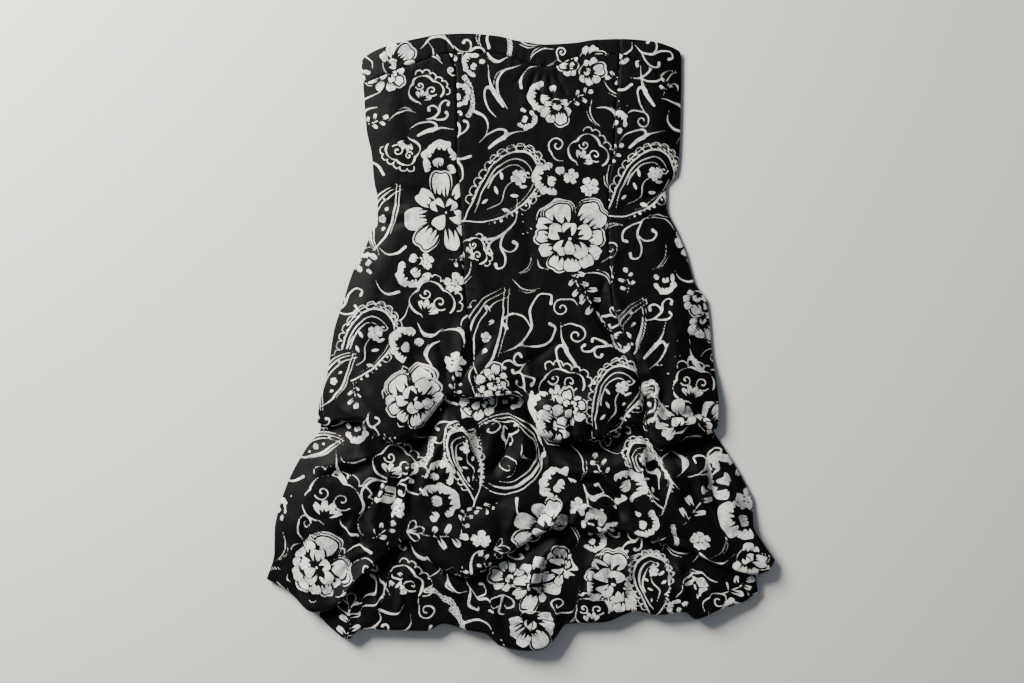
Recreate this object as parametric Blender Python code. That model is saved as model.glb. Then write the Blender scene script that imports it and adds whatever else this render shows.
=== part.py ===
"""A strapless bubble dress of black printed cotton, laid flat on its back.

Frame: x to the right as seen from above, y towards the bust, z up from the
surface that the dress lies on. The tables hold millimetres, the meshes metres.

The back lies flat on the surface. The front arches over it: a shaped band, a
centre panel and two side panels between princess seams, all ending in a rolled,
scalloped pick-up line, then a middle tier and a hem tier that come out from
under each other, each with its lower edge rolled under.
"""

from collections import namedtuple
import math

import bmesh
import bpy
import numpy as np

MM = 0.001

# Cloth and joints
CLOTH = 1.6
BACK_CLOTH = 2.0
SEAM_GAP = 0.3
LAP_GAP = 0.7
SIDE_TOP = BACK_CLOTH + SEAM_GAP + CLOTH

# How far the back's edge lies inside the front's outline
BACK_INSET = 3.0

# Height of the front's outer face, and the width over which it falls to the side seams
BODICE_FALL = 42.0
UNDER_HEIGHT = 10.4
UNDER_FALL = 62.0
HEM_LIFT = 8.2
MIDDLE_HEIGHT = 21.0
MIDDLE_FALL = 58.0

# Rolled edges: length of the cloth turned back under, and the level stretch above it
TURN_BACK = 24.0
LEVEL_PAST_TURN = 8.0
FADE = 70.0
SHORT_FADE = 80.0
MARGIN = 34.0

# Strip of the back, outside the hem tier, over which the middle tier settles down to the back
SETTLE_START = 34.0
SETTLE_WIDTH = 20.0

# Grid of each wall: rows on the face, round the roll and on the turned-back strip
ROWS_FACE = 17
ROWS_ROLL = 5
ROWS_TURN = 2

Point = namedtuple("Point", "x y")
Roll = namedtuple("Roll", "x y radius")
Level = namedtuple("Level", "y height")
Fold = namedtuple("Fold", "x0 y0 x1 y1 width height")

# Top edge of the bust, left to right
TOP_EDGE = [
    Point(-203, 358), Point(-197, 364), Point(-173, 375), Point(-129, 386), Point(-100, 391),
    Point(-70, 392), Point(-31, 389), Point(0, 382), Point(32, 378), Point(69, 380),
    Point(95, 384), Point(128, 385), Point(168, 382), Point(187, 377), Point(203, 370),
    Point(205, 363),
]

# Lower seam of the band, a soft double curve that dips at the centre
BAND_SEAM = [
    Point(-203, 328), Point(-178, 337), Point(-153, 347), Point(-126, 357), Point(-101, 366),
    Point(-70, 368), Point(-31, 367), Point(-7, 361), Point(21, 351), Point(44, 350),
    Point(64, 360), Point(95, 365), Point(125, 366), Point(149, 358), Point(177, 339),
    Point(205, 315),
]

# Side seams of the upper front, from the top edge to the pick-up line
UPPER_LEFT = [
    Point(-203, 358), Point(-200, 321), Point(-196, 269), Point(-190, 241), Point(-186, 201),
    Point(-182, 183), Point(-182, 150), Point(-190, 140), Point(-199, 117), Point(-213, 91),
    Point(-227, 48), Point(-238, 13), Point(-247, -48), Point(-256, -80), Point(-258, -103),
]
UPPER_RIGHT = [
    Point(205, 363), Point(205, 342), Point(204, 279), Point(203, 248), Point(200, 216),
    Point(186, 197), Point(186, 173), Point(199, 142), Point(211, 113), Point(222, 75),
    Point(238, 50), Point(244, -11), Point(252, -85), Point(252, -99), Point(247, -114),
]

# Princess seams, from the band to the pick-up line
PRINCESS_LEFT = [
    Point(-93, 372), Point(-82, 345), Point(-80, 276), Point(-81, 240), Point(-76, 184),
    Point(-74, 138), Point(-70, 60), Point(-64, 20), Point(-58, -55), Point(-57, -74),
]
PRINCESS_RIGHT = [
    Point(126, 372), Point(125, 338), Point(121, 295), Point(119, 245), Point(112, 199),
    Point(112, 132), Point(117, 50), Point(147, -27), Point(150, -48), Point(158, -74),
    Point(162, -126),
]

# Pick-up line: lower edge of the upper front, with the radius of its roll
PICK_UP_LINE = [
    Roll(-258, -103, 3.2), Roll(-246, -107, 4.0), Roll(-233, -101, 5.5), Roll(-206, -101, 8.0),
    Roll(-181, -119, 11.0), Roll(-156, -130, 12.0), Roll(-128, -112, 10.0), Roll(-102, -79, 5.5),
    Roll(-92, -69, 5.0), Roll(-72, -71, 6.0), Roll(-41, -71, 7.0), Roll(-11, -69, 6.0),
    Roll(4, -74, 7.0), Roll(17, -106, 9.0), Roll(29, -121, 10.0), Roll(69, -127, 11.0),
    Roll(96, -126, 10.0), Roll(114, -121, 8.0), Roll(142, -104, 5.0), Roll(152, -107, 5.0),
    Roll(164, -127, 7.0), Roll(178, -138, 9.0), Roll(203, -126, 9.0), Roll(228, -121, 6.0),
    Roll(252, -112, 3.2),
]

# Sides of the middle tier; the first rows are hidden under the upper front
MIDDLE_LEFT = [
    Point(-246, -62), Point(-251, -93), Point(-255, -110), Point(-274, -137), Point(-294, -173),
    Point(-305, -203), Point(-313, -241), Point(-313, -267), Point(-323, -302),
]
MIDDLE_RIGHT = [
    Point(239, -70), Point(244, -105), Point(246, -113), Point(258, -133), Point(269, -150),
    Point(288, -184), Point(296, -203), Point(296, -232), Point(309, -257), Point(324, -278),
]

# Lower edge of the middle tier, with the radius of its roll
SWAG_LINE = [
    Roll(-323, -302, 3.2), Roll(-299, -315, 4.0), Roll(-262, -343, 5.5), Roll(-243, -340, 6.0),
    Roll(-203, -301, 7.0), Roll(-156, -259, 4.5), Roll(-143, -253, 4.2), Roll(-115, -278, 6.5),
    Roll(-67, -298, 8.0), Roll(-15, -268, 7.0), Roll(35, -239, 6.0), Roll(51, -232, 6.0),
    Roll(68, -235, 6.5), Roll(96, -243, 6.0), Roll(124, -240, 5.0), Roll(162, -251, 6.5),
    Roll(199, -259, 6.0), Roll(244, -279, 5.0), Roll(272, -290, 4.5), Roll(299, -295, 4.0),
    Roll(314, -291, 3.5), Roll(324, -278, 3.2),
]

# Sides of the hem tier
HEM_LEFT = [Point(-246, -280), Point(-250, -315), Point(-256, -349)]
HEM_RIGHT = [Point(286, -258), Point(298, -293), Point(302, -319)]

# Hem, with its lobes and the radius of its roll
HEM_LINE = [
    Roll(-256, -349, 3.2), Roll(-240, -365, 3.4), Roll(-219, -378, 4.2), Roll(-203, -365, 4.2),
    Roll(-158, -366, 4.0), Roll(-120, -367, 4.0), Roll(-98, -358, 3.4), Roll(-64, -367, 4.0),
    Roll(-46, -370, 4.5), Roll(-25, -386, 5.5), Roll(8, -392, 6.5), Roll(28, -391, 6.0),
    Roll(44, -376, 5.0), Roll(59, -358, 4.0), Roll(105, -356, 4.0), Roll(149, -342, 3.5),
    Roll(173, -347, 4.5), Roll(208, -343, 4.5), Roll(222, -352, 5.0), Roll(253, -340, 4.5),
    Roll(285, -330, 4.0), Roll(302, -319, 3.0),
]

# Arch of the upper front along its length
UPPER_ARCH = [
    Level(392, 11.5), Level(330, 14.5), Level(250, 14.0), Level(185, 12.5), Level(100, 15.5),
    Level(0, 19.0), Level(-140, 22.0),
]

# Largest folds: a line across the cloth, its half width, and its height or depth
UPPER_FOLDS = [
    Fold(92, 62, 150, -22, 9, -4.5), Fold(106, 72, 166, -16, 9, 3.5),
    Fold(-96, -66, -142, 18, 11, -3.5), Fold(-108, -74, -182, -22, 12, 3.5),
    Fold(-86, -64, -70, 30, 9, 3.0), Fold(148, -98, 128, -30, 9, 4.5),
    Fold(158, -96, 162, -40, 8, -4.0), Fold(172, -92, 250, -90, 8, -5.0),
    Fold(-238, 20, -216, -84, 12, -3.0), Fold(-12, -60, 90, -66, 10, -4.0),
    Fold(20, -86, 112, -90, 14, 3.5), Fold(-180, 196, -96, 176, 12, -2.5),
    Fold(186, 186, 122, 172, 12, -2.5), Fold(200, 150, 232, 20, 12, -3.0),
]
MIDDLE_FOLDS = [
    Fold(-14, -108, -38, -172, 9, -6.0), Fold(-58, -90, -52, -152, 9, -5.0),
    Fold(-100, -84, -84, -170, 11, 5.5), Fold(-104, -90, -132, -158, 11, -5.0),
    Fold(-170, -150, -144, -246, 11, -5.5), Fold(-190, -156, -176, -240, 13, 5.0),
    Fold(156, -110, 160, -160, 11, 4.0), Fold(186, -136, 220, -214, 15, 6.0),
    Fold(162, -146, 186, -206, 14, -5.0), Fold(84, -170, 120, -228, 15, -7.5),
    Fold(66, -202, 108, -214, 10, 5.0), Fold(28, -130, 34, -186, 11, -4.0),
    Fold(232, -140, 262, -250, 12, -5.0), Fold(-262, -150, -290, -250, 13, 4.0),
    Fold(-214, -214, -232, -300, 13, -5.0), Fold(-60, -200, 30, -214, 14, 3.5),
]
HEM_FOLDS = [
    Fold(50, -226, 10, -322, 11, 9.0), Fold(74, -260, 66, -340, 12, -5.0),
    Fold(-172, -286, -176, -340, 10, -6.0), Fold(-106, -272, -86, -326, 9, 5.5),
    Fold(-132, -268, -140, -340, 10, 3.5), Fold(-24, -300, 2, -372, 14, 5.0),
    Fold(226, -286, 232, -334, 10, -5.0), Fold(194, -270, 214, -340, 10, 4.0),
    Fold(110, -262, 128, -330, 13, 5.5), Fold(-220, -326, -216, -370, 12, 5.0),
    Fold(-60, -306, -56, -356, 9, -4.0), Fold(150, -262, 158, -336, 9, -4.0),
]

# The folded tuck that lies over the pick-up line at the left princess seam
TUCK_TOP = [Point(-73, -54), Point(-42, -57), Point(-11, -55)]
TUCK_EDGE = [Roll(-73, -68, 2.4), Roll(-42, -70, 2.6), Roll(-11, -66, 2.4)]
TUCK_TURN = 11.0

# Seams of the back, all flat
BACK_BAND_SEAM = [Point(-205, 340), Point(205, 340)]
BACK_TIER_SEAM = [Point(-250, -118), Point(0, -104), Point(246, -120)]
BACK_HEM_SEAM = [Point(-300, -262), Point(0, -246), Point(306, -262)]
BACK_TOP_DROP = 6.0
BACK_LOW_LEFT = [Point(-309, -240), Point(-310, -267), Point(-319, -299)]
BACK_LOW_RIGHT = [Point(294, -230), Point(306, -259), Point(320, -277)]
BACK_HEM = [
    Point(-319, -299), Point(-297, -309), Point(-262, -334), Point(-243, -353), Point(-219, -368),
    Point(-203, -357), Point(-158, -358), Point(-120, -359), Point(-98, -350), Point(-64, -359),
    Point(-46, -362), Point(-25, -376), Point(8, -384), Point(28, -383), Point(42, -368),
    Point(57, -349), Point(105, -348), Point(149, -334), Point(173, -338), Point(208, -335),
    Point(222, -343), Point(253, -331), Point(283, -321), Point(297, -300), Point(304, -289),
    Point(314, -285), Point(320, -277),
]

# Columns of each grid
COLUMNS = {
    "front_left": 13, "front_centre": 15, "front_right": 12,
    "tuck_flap": 8, "middle_tier": 46, "hem_tier": 52, "back": 12,
}
BACK_ROWS = 6
BAND_ROWS = 3

BLACK_COTTON = (0.0072, 0.0070, 0.0068, 1.0)
COTTON_ROUGHNESS = 0.82


def smooth(table, column="y", key="x"):
    """A function through a table's rows that never overshoots them (monotone cubic)."""
    rows = sorted(table, key=lambda row: getattr(row, key))
    at = np.array([getattr(row, key) for row in rows], float)
    value = np.array([getattr(row, column) for row in rows], float)
    step = np.diff(at)
    chord = np.diff(value) / step
    slope = np.empty_like(value)
    slope[0], slope[-1] = chord[0], chord[-1]
    same_way = chord[:-1] * chord[1:] > 0
    total = np.where(same_way, chord[:-1] + chord[1:], 1.0)
    slope[1:-1] = np.where(same_way, 2.0 * chord[:-1] * chord[1:] / total, 0.0)

    def through(where):
        where = np.clip(np.asarray(where, float), at[0], at[-1])
        i = np.clip(np.searchsorted(at, where, side="right") - 1, 0, len(step) - 1)
        t = (where - at[i]) / step[i]
        rise = value[i + 1] - value[i]
        first = step[i] * slope[i]
        last = step[i] * slope[i + 1]
        return value[i] + t * (first + t * (3 * rise - 2 * first - last + t * (first + last - 2 * rise)))

    return through


def side(table):
    """x of a side seam as a function of y."""
    return smooth(table, column="x", key="y")


def ease(t):
    """0 to 1 with level ends."""
    t = np.clip(t, 0.0, 1.0)
    return t * t * (3.0 - 2.0 * t)


def arch(inside, height, width, edge):
    """Height at a distance inside the side seams: edge on the seam, level past width."""
    return edge + (height - edge) * np.sin(0.5 * math.pi * np.clip(inside / width, 0.0, 1.0))


top_edge = smooth(TOP_EDGE)
band_seam = smooth(BAND_SEAM)
pick_up_line = smooth(PICK_UP_LINE)
pick_up_radius = smooth(PICK_UP_LINE, column="radius")
swag_line = smooth(SWAG_LINE)
swag_radius = smooth(SWAG_LINE, column="radius")
hem_line = smooth(HEM_LINE)
hem_radius = smooth(HEM_LINE, column="radius")
upper_left, upper_right = side(UPPER_LEFT), side(UPPER_RIGHT)
middle_left, middle_right = side(MIDDLE_LEFT), side(MIDDLE_RIGHT)
hem_left, hem_right = side(HEM_LEFT), side(HEM_RIGHT)
princess_left, princess_right = side(PRINCESS_LEFT), side(PRINCESS_RIGHT)
upper_arch = smooth(UPPER_ARCH, column="height", key="y")


def inside_of(x, y, left, right):
    """How far a point lies inside two side seams, negative outside."""
    return np.minimum(x - left(y), right(y) - x)


def soft_arch(inside, height, width, edge):
    """The same, but level on the seam as well, for layers that lie on each other."""
    return edge + (height - edge) * ease(inside / width)


def fold_height(x, y, folds):
    """Sum of soft ridges and troughs, each fading out at its two ends."""
    total = np.zeros(np.broadcast(x, y).shape)
    for fold in folds:
        along_x, along_y = fold.x1 - fold.x0, fold.y1 - fold.y0
        length = math.hypot(along_x, along_y)
        t = ((x - fold.x0) * along_x + (y - fold.y0) * along_y) / length ** 2
        across = ((x - fold.x0) * along_y - (y - fold.y0) * along_x) / length
        ends = np.clip(1.0 - np.abs(2.0 * t - 1.0) ** 3, 0.0, 1.0)
        total = total + fold.height * ends * np.exp(-((across / fold.width) ** 2))
    return total


def under_upper(x, y):
    """Outer face of the middle tier where the upper front covers it."""
    inside = inside_of(x, y, middle_left, middle_right)
    return soft_arch(inside, UNDER_HEIGHT, UNDER_FALL, SIDE_TOP)


def under_hem(x, y):
    """Level that the turned-back hem lies on: the back at the sides, lifted between them."""
    inside = inside_of(x, y, hem_left, hem_right)
    return soft_arch(inside, HEM_LIFT - LAP_GAP, UNDER_FALL, BACK_CLOTH)


def under_middle(x, y):
    """Outer face of the hem tier where the middle tier covers it, and the back beside it."""
    inside = inside_of(x, y, hem_left, hem_right)
    level = soft_arch(inside, UNDER_HEIGHT, UNDER_FALL, SIDE_TOP)
    rolled = under_hem(x, y) + LAP_GAP + 2.0 * hem_radius(x)
    near = 1.0 - ease((y - hem_line(x) - TURN_BACK - LEVEL_PAST_TURN) / SHORT_FADE)
    level = level + np.maximum(rolled - level, 0.0) * near
    return BACK_CLOTH + (level - BACK_CLOTH) * ease((inside + SETTLE_START) / SETTLE_WIDTH)


def near_roll(plain, below, above_line, radius, span):
    """Bring a face up to the top of the roll at its lower edge, clear of the turned strip."""
    top = below + LAP_GAP + 2.0 * radius
    level = TURN_BACK + LEVEL_PAST_TURN
    fade = np.minimum(FADE, np.maximum(span - level, 12.0))
    near = 1.0 - ease((above_line - level) / fade)
    return plain + (top - plain) * near


def clear_of_turn(height, below, above_line):
    """Keep a face above the strip turned back beneath it."""
    least = below + 2.0 * (CLOTH + LAP_GAP)
    reach = TURN_BACK + MARGIN
    return np.where(above_line < reach, np.maximum(height, least), height)


def upper_top(x, y):
    """Outer face of the band, the centre panel and the side panels."""
    inside = inside_of(x, y, upper_left, upper_right)
    plain = arch(inside, upper_arch(y), BODICE_FALL, SIDE_TOP)
    soft_edge = ease(inside / BODICE_FALL)
    plain = plain + fold_height(x, y, UPPER_FOLDS) * soft_edge
    below = under_upper(x, y)
    above_line = y - pick_up_line(x)
    height = near_roll(plain, below, above_line, pick_up_radius(x), 200.0)
    height = height + 0.5 * fold_height(x, y, UPPER_FOLDS) * soft_edge * (above_line < 90.0)
    return clear_of_turn(height, below, above_line)


def middle_top(x, y):
    """Outer face of the middle tier, flat under the upper front and full below it."""
    below_line = pick_up_line(x) - y
    inside = inside_of(x, y, middle_left, middle_right)
    full = arch(inside, MIDDLE_HEIGHT, MIDDLE_FALL, SIDE_TOP)
    full = full + fold_height(x, y, MIDDLE_FOLDS) * ease(inside / MIDDLE_FALL)
    out = ease((below_line - 7.0) / 40.0)
    covered = under_upper(x, y)
    span = pick_up_line(x) - swag_line(x)
    below = under_middle(x, y)
    above_line = y - swag_line(x)
    open_height = near_roll(full, below, above_line, swag_radius(x), 0.75 * span)
    open_height = np.maximum(clear_of_turn(open_height, below, above_line), covered)
    return covered + (open_height - covered) * out


def hem_top(x, y):
    """Outer face of the hem tier, flat under the middle tier and lobed below it."""
    below_line = swag_line(x) - y
    inside = inside_of(x, y, hem_left, hem_right)
    span = swag_line(x) - hem_line(x)
    below = under_hem(x, y)
    above_line = y - hem_line(x)
    full = arch(inside, UNDER_HEIGHT + 4.0, UNDER_FALL, SIDE_TOP)
    full = full + fold_height(x, y, HEM_FOLDS) * ease(inside / UNDER_FALL)
    open_height = near_roll(full, below, above_line, hem_radius(x), 0.7 * span)
    open_height = open_height + 0.4 * fold_height(x, y, HEM_FOLDS) * ease(inside / UNDER_FALL)
    covered = under_middle(x, y)
    open_height = np.maximum(clear_of_turn(open_height, below, above_line), covered)
    return covered + (open_height - covered) * ease((below_line - 6.0) / 26.0)


def tuck_under(x, y):
    """The upper front that the tuck lies on."""
    return upper_top(x, y)


def tuck_top(x, y):
    """Upper leaf of the tuck."""
    return tuck_under(x, y) + LAP_GAP + 2.0 * smooth(TUCK_EDGE, column="radius")(x)


def even(columns):
    """Places across a panel, evenly spaced from 0 to 1."""
    return np.linspace(0.0, 1.0, columns + 1)


def shifted(line, offset):
    """The same line moved by a fixed amount."""
    return lambda where: line(where) + offset


def patch_columns(top, bottom, left, right, left_ends, right_ends, across, samples=60):
    """Lines down a panel between its four edges, each as points from top to bottom."""
    u = np.asarray(across, float)[:, None]
    v = np.linspace(0.0, 1.0, samples)[None, :]
    left_y = left_ends[0] + (left_ends[1] - left_ends[0]) * v
    right_y = right_ends[0] + (right_ends[1] - right_ends[0]) * v
    left_x, right_x = left(left_y), right(right_y)
    top_x = left_x[:, :1] + (right_x[:, :1] - left_x[:, :1]) * u
    bottom_x = left_x[:, -1:] + (right_x[:, -1:] - left_x[:, -1:]) * u
    top_y, bottom_y = top(top_x), bottom(bottom_x)
    x = (1 - v) * top_x + v * bottom_x + (1 - u) * left_x + u * right_x
    y = (1 - v) * top_y + v * bottom_y + (1 - u) * left_y + u * right_y
    x = x - (1 - u) * (1 - v) * left_x[:, :1] - u * (1 - v) * right_x[:, :1]
    x = x - (1 - u) * v * left_x[:, -1:] - u * v * right_x[:, -1:]
    y = y - (1 - u) * (1 - v) * left_y[:, :1] - u * (1 - v) * right_y[:, :1]
    y = y - (1 - u) * v * left_y[:, -1:] - u * v * right_y[:, -1:]
    return x, y


def edge_height(edge, seam):
    """y where a side seam meets an upper or lower edge."""
    y = edge(seam(0.0))
    for _ in range(30):
        y = edge(seam(y))
    return float(y)


def walk_up(x, y, distances):
    """Points on one column at given distances from its lower end."""
    x, y = x[::-1], y[::-1]
    run = np.concatenate([[0.0], np.cumsum(np.hypot(np.diff(x), np.diff(y)))])
    return np.interp(distances, run, x), np.interp(distances, run, y), run[-1]


def rolled_column(x, y, height, below, radius_at, turn):
    """Outer and inner points of one column: face, roll and turned-back strip."""
    radius = float(radius_at(x[-1]))
    _, _, length = walk_up(x, y, [0.0])
    spread = np.linspace(0.0, 1.0, ROWS_FACE + 1)
    face = radius + (length - radius) * (1.0 - spread) ** 1.35
    face_x, face_y, _ = walk_up(x, y, face)
    face_z = height(face_x, face_y)
    slope = np.gradient(face_z, np.minimum(-0.1, np.gradient(face)))
    depth = CLOTH * np.minimum(np.sqrt(1.0 + slope ** 2), 1.25)
    depth[-1] = CLOTH

    start_x, start_y, _ = walk_up(x, y, [radius])
    top = float(face_z[-1])
    bottom = float(below(start_x, start_y)[0]) + LAP_GAP
    half = 0.5 * (top - bottom)
    angle = math.pi * np.arange(1, ROWS_ROLL + 1) / (ROWS_ROLL + 1)

    def round_the_edge(across, up):
        away = radius - across * np.sin(angle)
        px, py, _ = walk_up(x, y, away)
        return px, py, bottom + half + up * np.cos(angle)

    roll_out = round_the_edge(radius, half)
    roll_in = round_the_edge(radius - CLOTH, half - CLOTH)

    back = np.linspace(radius, turn, ROWS_TURN + 1)
    turn_x, turn_y, _ = walk_up(x, y, back)
    turn_z = below(turn_x, turn_y) + LAP_GAP

    outer = np.concatenate([
        np.stack([face_x, face_y, face_z], 1),
        np.stack(roll_out, 1),
        np.stack([turn_x, turn_y, turn_z], 1),
    ])
    inner = np.concatenate([
        np.stack([face_x, face_y, face_z - depth], 1),
        np.stack(roll_in, 1),
        np.stack([turn_x, turn_y, turn_z + CLOTH], 1),
    ])
    return outer, inner


def wall_mesh(name, outer, inner):
    """A closed wall from two grids of points, columns running left to right."""
    columns, rows = outer.shape[:2]
    mesh = bpy.data.meshes.new(name)
    form = bmesh.new()
    out = [[form.verts.new(point * MM) for point in column] for column in outer]
    back = [[form.verts.new(point * MM) for point in column] for column in inner]
    for i in range(columns - 1):
        for j in range(rows - 1):
            form.faces.new((out[i][j], out[i][j + 1], out[i + 1][j + 1], out[i + 1][j]))
            form.faces.new((back[i][j], back[i + 1][j], back[i + 1][j + 1], back[i][j + 1]))
        last = rows - 1
        form.faces.new((out[i][0], out[i + 1][0], back[i + 1][0], back[i][0]))
        form.faces.new((out[i][last], back[i][last], back[i + 1][last], out[i + 1][last]))
    for j in range(rows - 1):
        last = columns - 1
        form.faces.new((out[0][j], back[0][j], back[0][j + 1], out[0][j + 1]))
        form.faces.new((out[last][j], out[last][j + 1], back[last][j + 1], back[last][j]))
    form.to_mesh(mesh)
    form.free()
    return mesh


def add_piece(name, outer, inner, colour):
    """Put a wall into the scene as a named piece with its cloth."""
    cloth = bpy.data.objects.new(name, wall_mesh(name, outer, inner))
    bpy.context.collection.objects.link(cloth)
    material = bpy.data.materials.new("cotton_" + name)
    material.use_nodes = True
    shader = material.node_tree.nodes["Principled BSDF"]
    shader.inputs["Base Color"].default_value = colour
    shader.inputs["Roughness"].default_value = COTTON_ROUGHNESS
    shader.inputs["Metallic"].default_value = 0.0
    cloth.data.materials.append(material)
    return cloth


def rolled_panel(name, edges, ends, height, below, radius_at, turn=TURN_BACK):
    """A panel whose lower edge rolls under. edges: top, bottom, left, right."""
    top, bottom, left, right = edges
    x, y = patch_columns(top, bottom, left, right, ends[0], ends[1], even(COLUMNS[name]))
    pairs = [
        rolled_column(x[i], y[i], height, below, radius_at, turn)
        for i in range(x.shape[0])
    ]
    outer = np.array([pair[0] for pair in pairs])
    inner = np.array([pair[1] for pair in pairs])
    return add_piece(name, outer, inner, BLACK_COTTON)


def flat_panel(name, edges, ends, across, rows, height, thickness):
    """A panel with plain edges; height gives its outer face."""
    top, bottom, left, right = edges
    x, y = patch_columns(top, bottom, left, right, ends[0], ends[1], across)
    keep = np.linspace(0, x.shape[1] - 1, rows + 1).round().astype(int)
    x, y = x[:, keep], y[:, keep]
    z = height(x, y)
    outer = np.stack([x, y, z], 2)
    inner = np.stack([x, y, z - thickness], 2)
    return add_piece(name, outer, inner, BLACK_COTTON)


def band_columns():
    """Places across the band that meet the columns of the three panels sewn to it."""
    seams = [float(line(edge_height(band_seam, line)))
             for line in (upper_left, princess_left, princess_right, upper_right)]
    counts = [COLUMNS[name] for name in ("front_left", "front_centre", "front_right")]
    stations = [seams[0]]
    for start, end, count in zip(seams, seams[1:], counts):
        stations.extend(start + (end - start) * even(count)[1:])
    return (np.array(stations) - seams[0]) / (seams[-1] - seams[0])


def make_band():
    """Shaped band along the bust."""
    lower = shifted(band_seam, 0.5 * SEAM_GAP)
    ends = [
        (edge_height(top_edge, upper_left), edge_height(lower, upper_left)),
        (edge_height(top_edge, upper_right), edge_height(lower, upper_right)),
    ]
    edges = (top_edge, lower, upper_left, upper_right)
    flat_panel("front_band", edges, ends, band_columns(), BAND_ROWS, upper_top, CLOTH)


def make_upper_front():
    """Centre panel and two side panels, cut along the princess seams."""
    upper = shifted(band_seam, -0.5 * SEAM_GAP)
    half = 0.5 * SEAM_GAP
    panels = [
        ("front_left", upper_left, shifted(princess_left, -half)),
        ("front_centre", shifted(princess_left, half), shifted(princess_right, -half)),
        ("front_right", shifted(princess_right, half), upper_right),
    ]
    for name, left, right in panels:
        ends = [
            (edge_height(upper, left), edge_height(pick_up_line, left)),
            (edge_height(upper, right), edge_height(pick_up_line, right)),
        ]
        edges = (upper, pick_up_line, left, right)
        rolled_panel(name, edges, ends, upper_top, under_upper, pick_up_radius)


def make_tiers():
    """Middle tier and hem tier of the skirt's front."""
    tiers = [
        ("middle_tier", pick_up_line, swag_line, middle_left, middle_right,
         middle_top, under_middle, swag_radius),
        ("hem_tier", swag_line, hem_line, hem_left, hem_right,
         hem_top, under_hem, hem_radius),
    ]
    for name, line_above, line_below, left, right, height, below, radius_at in tiers:
        upper = shifted(line_above, MARGIN)
        ends = [
            (edge_height(upper, left), edge_height(line_below, left)),
            (edge_height(upper, right), edge_height(line_below, right)),
        ]
        edges = (upper, line_below, left, right)
        rolled_panel(name, edges, ends, height, below, radius_at)


def make_tuck():
    """The small folded tuck on the pick-up line."""
    left = shifted(np.zeros_like, TUCK_EDGE[0].x)
    right = shifted(np.zeros_like, TUCK_EDGE[-1].x)
    ends = [(TUCK_TOP[0].y, TUCK_EDGE[0].y), (TUCK_TOP[-1].y, TUCK_EDGE[-1].y)]
    edges = (smooth(TUCK_TOP), smooth(TUCK_EDGE), left, right)
    radius_at = smooth(TUCK_EDGE, column="radius")
    rolled_panel("tuck_flap", edges, ends, tuck_top, tuck_under, radius_at, TUCK_TURN)


def make_back():
    """The back, flat on the surface: band, two panels with a centre seam, two tiers."""
    inset = BACK_INSET
    half = 0.5 * SEAM_GAP
    centre = shifted(np.zeros_like, 0.0)
    top = shifted(top_edge, -BACK_TOP_DROP)
    band, tier, hem = smooth(BACK_BAND_SEAM), smooth(BACK_TIER_SEAM), smooth(BACK_HEM_SEAM)
    body_left, body_right = shifted(upper_left, inset), shifted(upper_right, -inset)
    skirt_left, skirt_right = shifted(middle_left, inset), shifted(middle_right, -inset)
    low_left, low_right = side(BACK_LOW_LEFT), side(BACK_LOW_RIGHT)
    hem_points = np.array([point.x for point in BACK_HEM], float)
    hem_places = (hem_points - hem_points[0]) / (hem_points[-1] - hem_points[0])
    panels = [
        ("back_band", top, shifted(band, half), body_left, body_right),
        ("back_left", shifted(band, -half), shifted(tier, half), body_left, shifted(centre, -half)),
        ("back_right", shifted(band, -half), shifted(tier, half), shifted(centre, half), body_right),
        ("back_middle_tier", shifted(tier, -half), shifted(hem, half), skirt_left, skirt_right),
        ("back_hem_tier", shifted(hem, -half), smooth(BACK_HEM), low_left, low_right),
    ]
    for name, above, below, left, right in panels:
        ends = [
            (edge_height(above, left), edge_height(below, left)),
            (edge_height(above, right), edge_height(below, right)),
        ]
        across = hem_places if name == "back_hem_tier" else even(COLUMNS["back"])
        flat_panel(
            name, (above, below, left, right), ends, across, BACK_ROWS,
            lambda x, y: np.full(x.shape, BACK_CLOTH), BACK_CLOTH,
        )


def main():
    for thing in list(bpy.data.objects):
        bpy.data.objects.remove(thing, do_unlink=True)
    make_band()
    make_upper_front()
    make_tuck()
    make_tiers()
    make_back()


main()
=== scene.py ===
"""Looks of a strapless bubble dress of black printed cotton, laid flat on its back.

Tables hold millimetres in the frame of the solids: x to the right as seen from above,
y towards the bust, z up from the surface. Each panel is a thin shell of cloth on the
form of its solid, with its own creases, its print as a field of distances to the
nearest painted edge, and thread where the pieces are sewn.
"""

import math
from collections import namedtuple

import bpy
import numpy as np
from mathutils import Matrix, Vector


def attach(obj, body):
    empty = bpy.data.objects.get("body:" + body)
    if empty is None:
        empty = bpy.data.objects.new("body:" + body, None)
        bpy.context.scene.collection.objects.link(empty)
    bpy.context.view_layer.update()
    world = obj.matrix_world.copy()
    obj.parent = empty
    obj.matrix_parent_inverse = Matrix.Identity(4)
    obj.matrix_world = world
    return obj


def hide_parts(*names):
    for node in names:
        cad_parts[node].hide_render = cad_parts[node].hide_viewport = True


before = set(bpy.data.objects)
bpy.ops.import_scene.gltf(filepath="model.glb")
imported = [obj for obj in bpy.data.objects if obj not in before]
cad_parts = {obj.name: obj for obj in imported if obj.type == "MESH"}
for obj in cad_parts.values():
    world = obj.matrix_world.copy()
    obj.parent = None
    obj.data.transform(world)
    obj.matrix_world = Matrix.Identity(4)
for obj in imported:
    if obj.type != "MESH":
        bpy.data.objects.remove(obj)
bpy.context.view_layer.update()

bl_info = {
    "name": "Bubble dress",
    "version": (1, 0, 0),
    "blender": (4, 5, 0),
    "location": "3D View > Sidebar > Dress",
    "description": "A strapless bubble dress of printed cotton, laid flat",
    "category": "Object",
}

MM = 0.001

# The threads lie 0.3 mm apart; they are drawn three times as coarse, so that they show. A wave
# texture's bands repeat every tau / 20 of its scaled coordinate
DRAWN_PITCH = 0.0009
WEAVE_SCALE = math.tau / (20.0 * DRAWN_PITCH)
BODY = "root"

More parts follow.
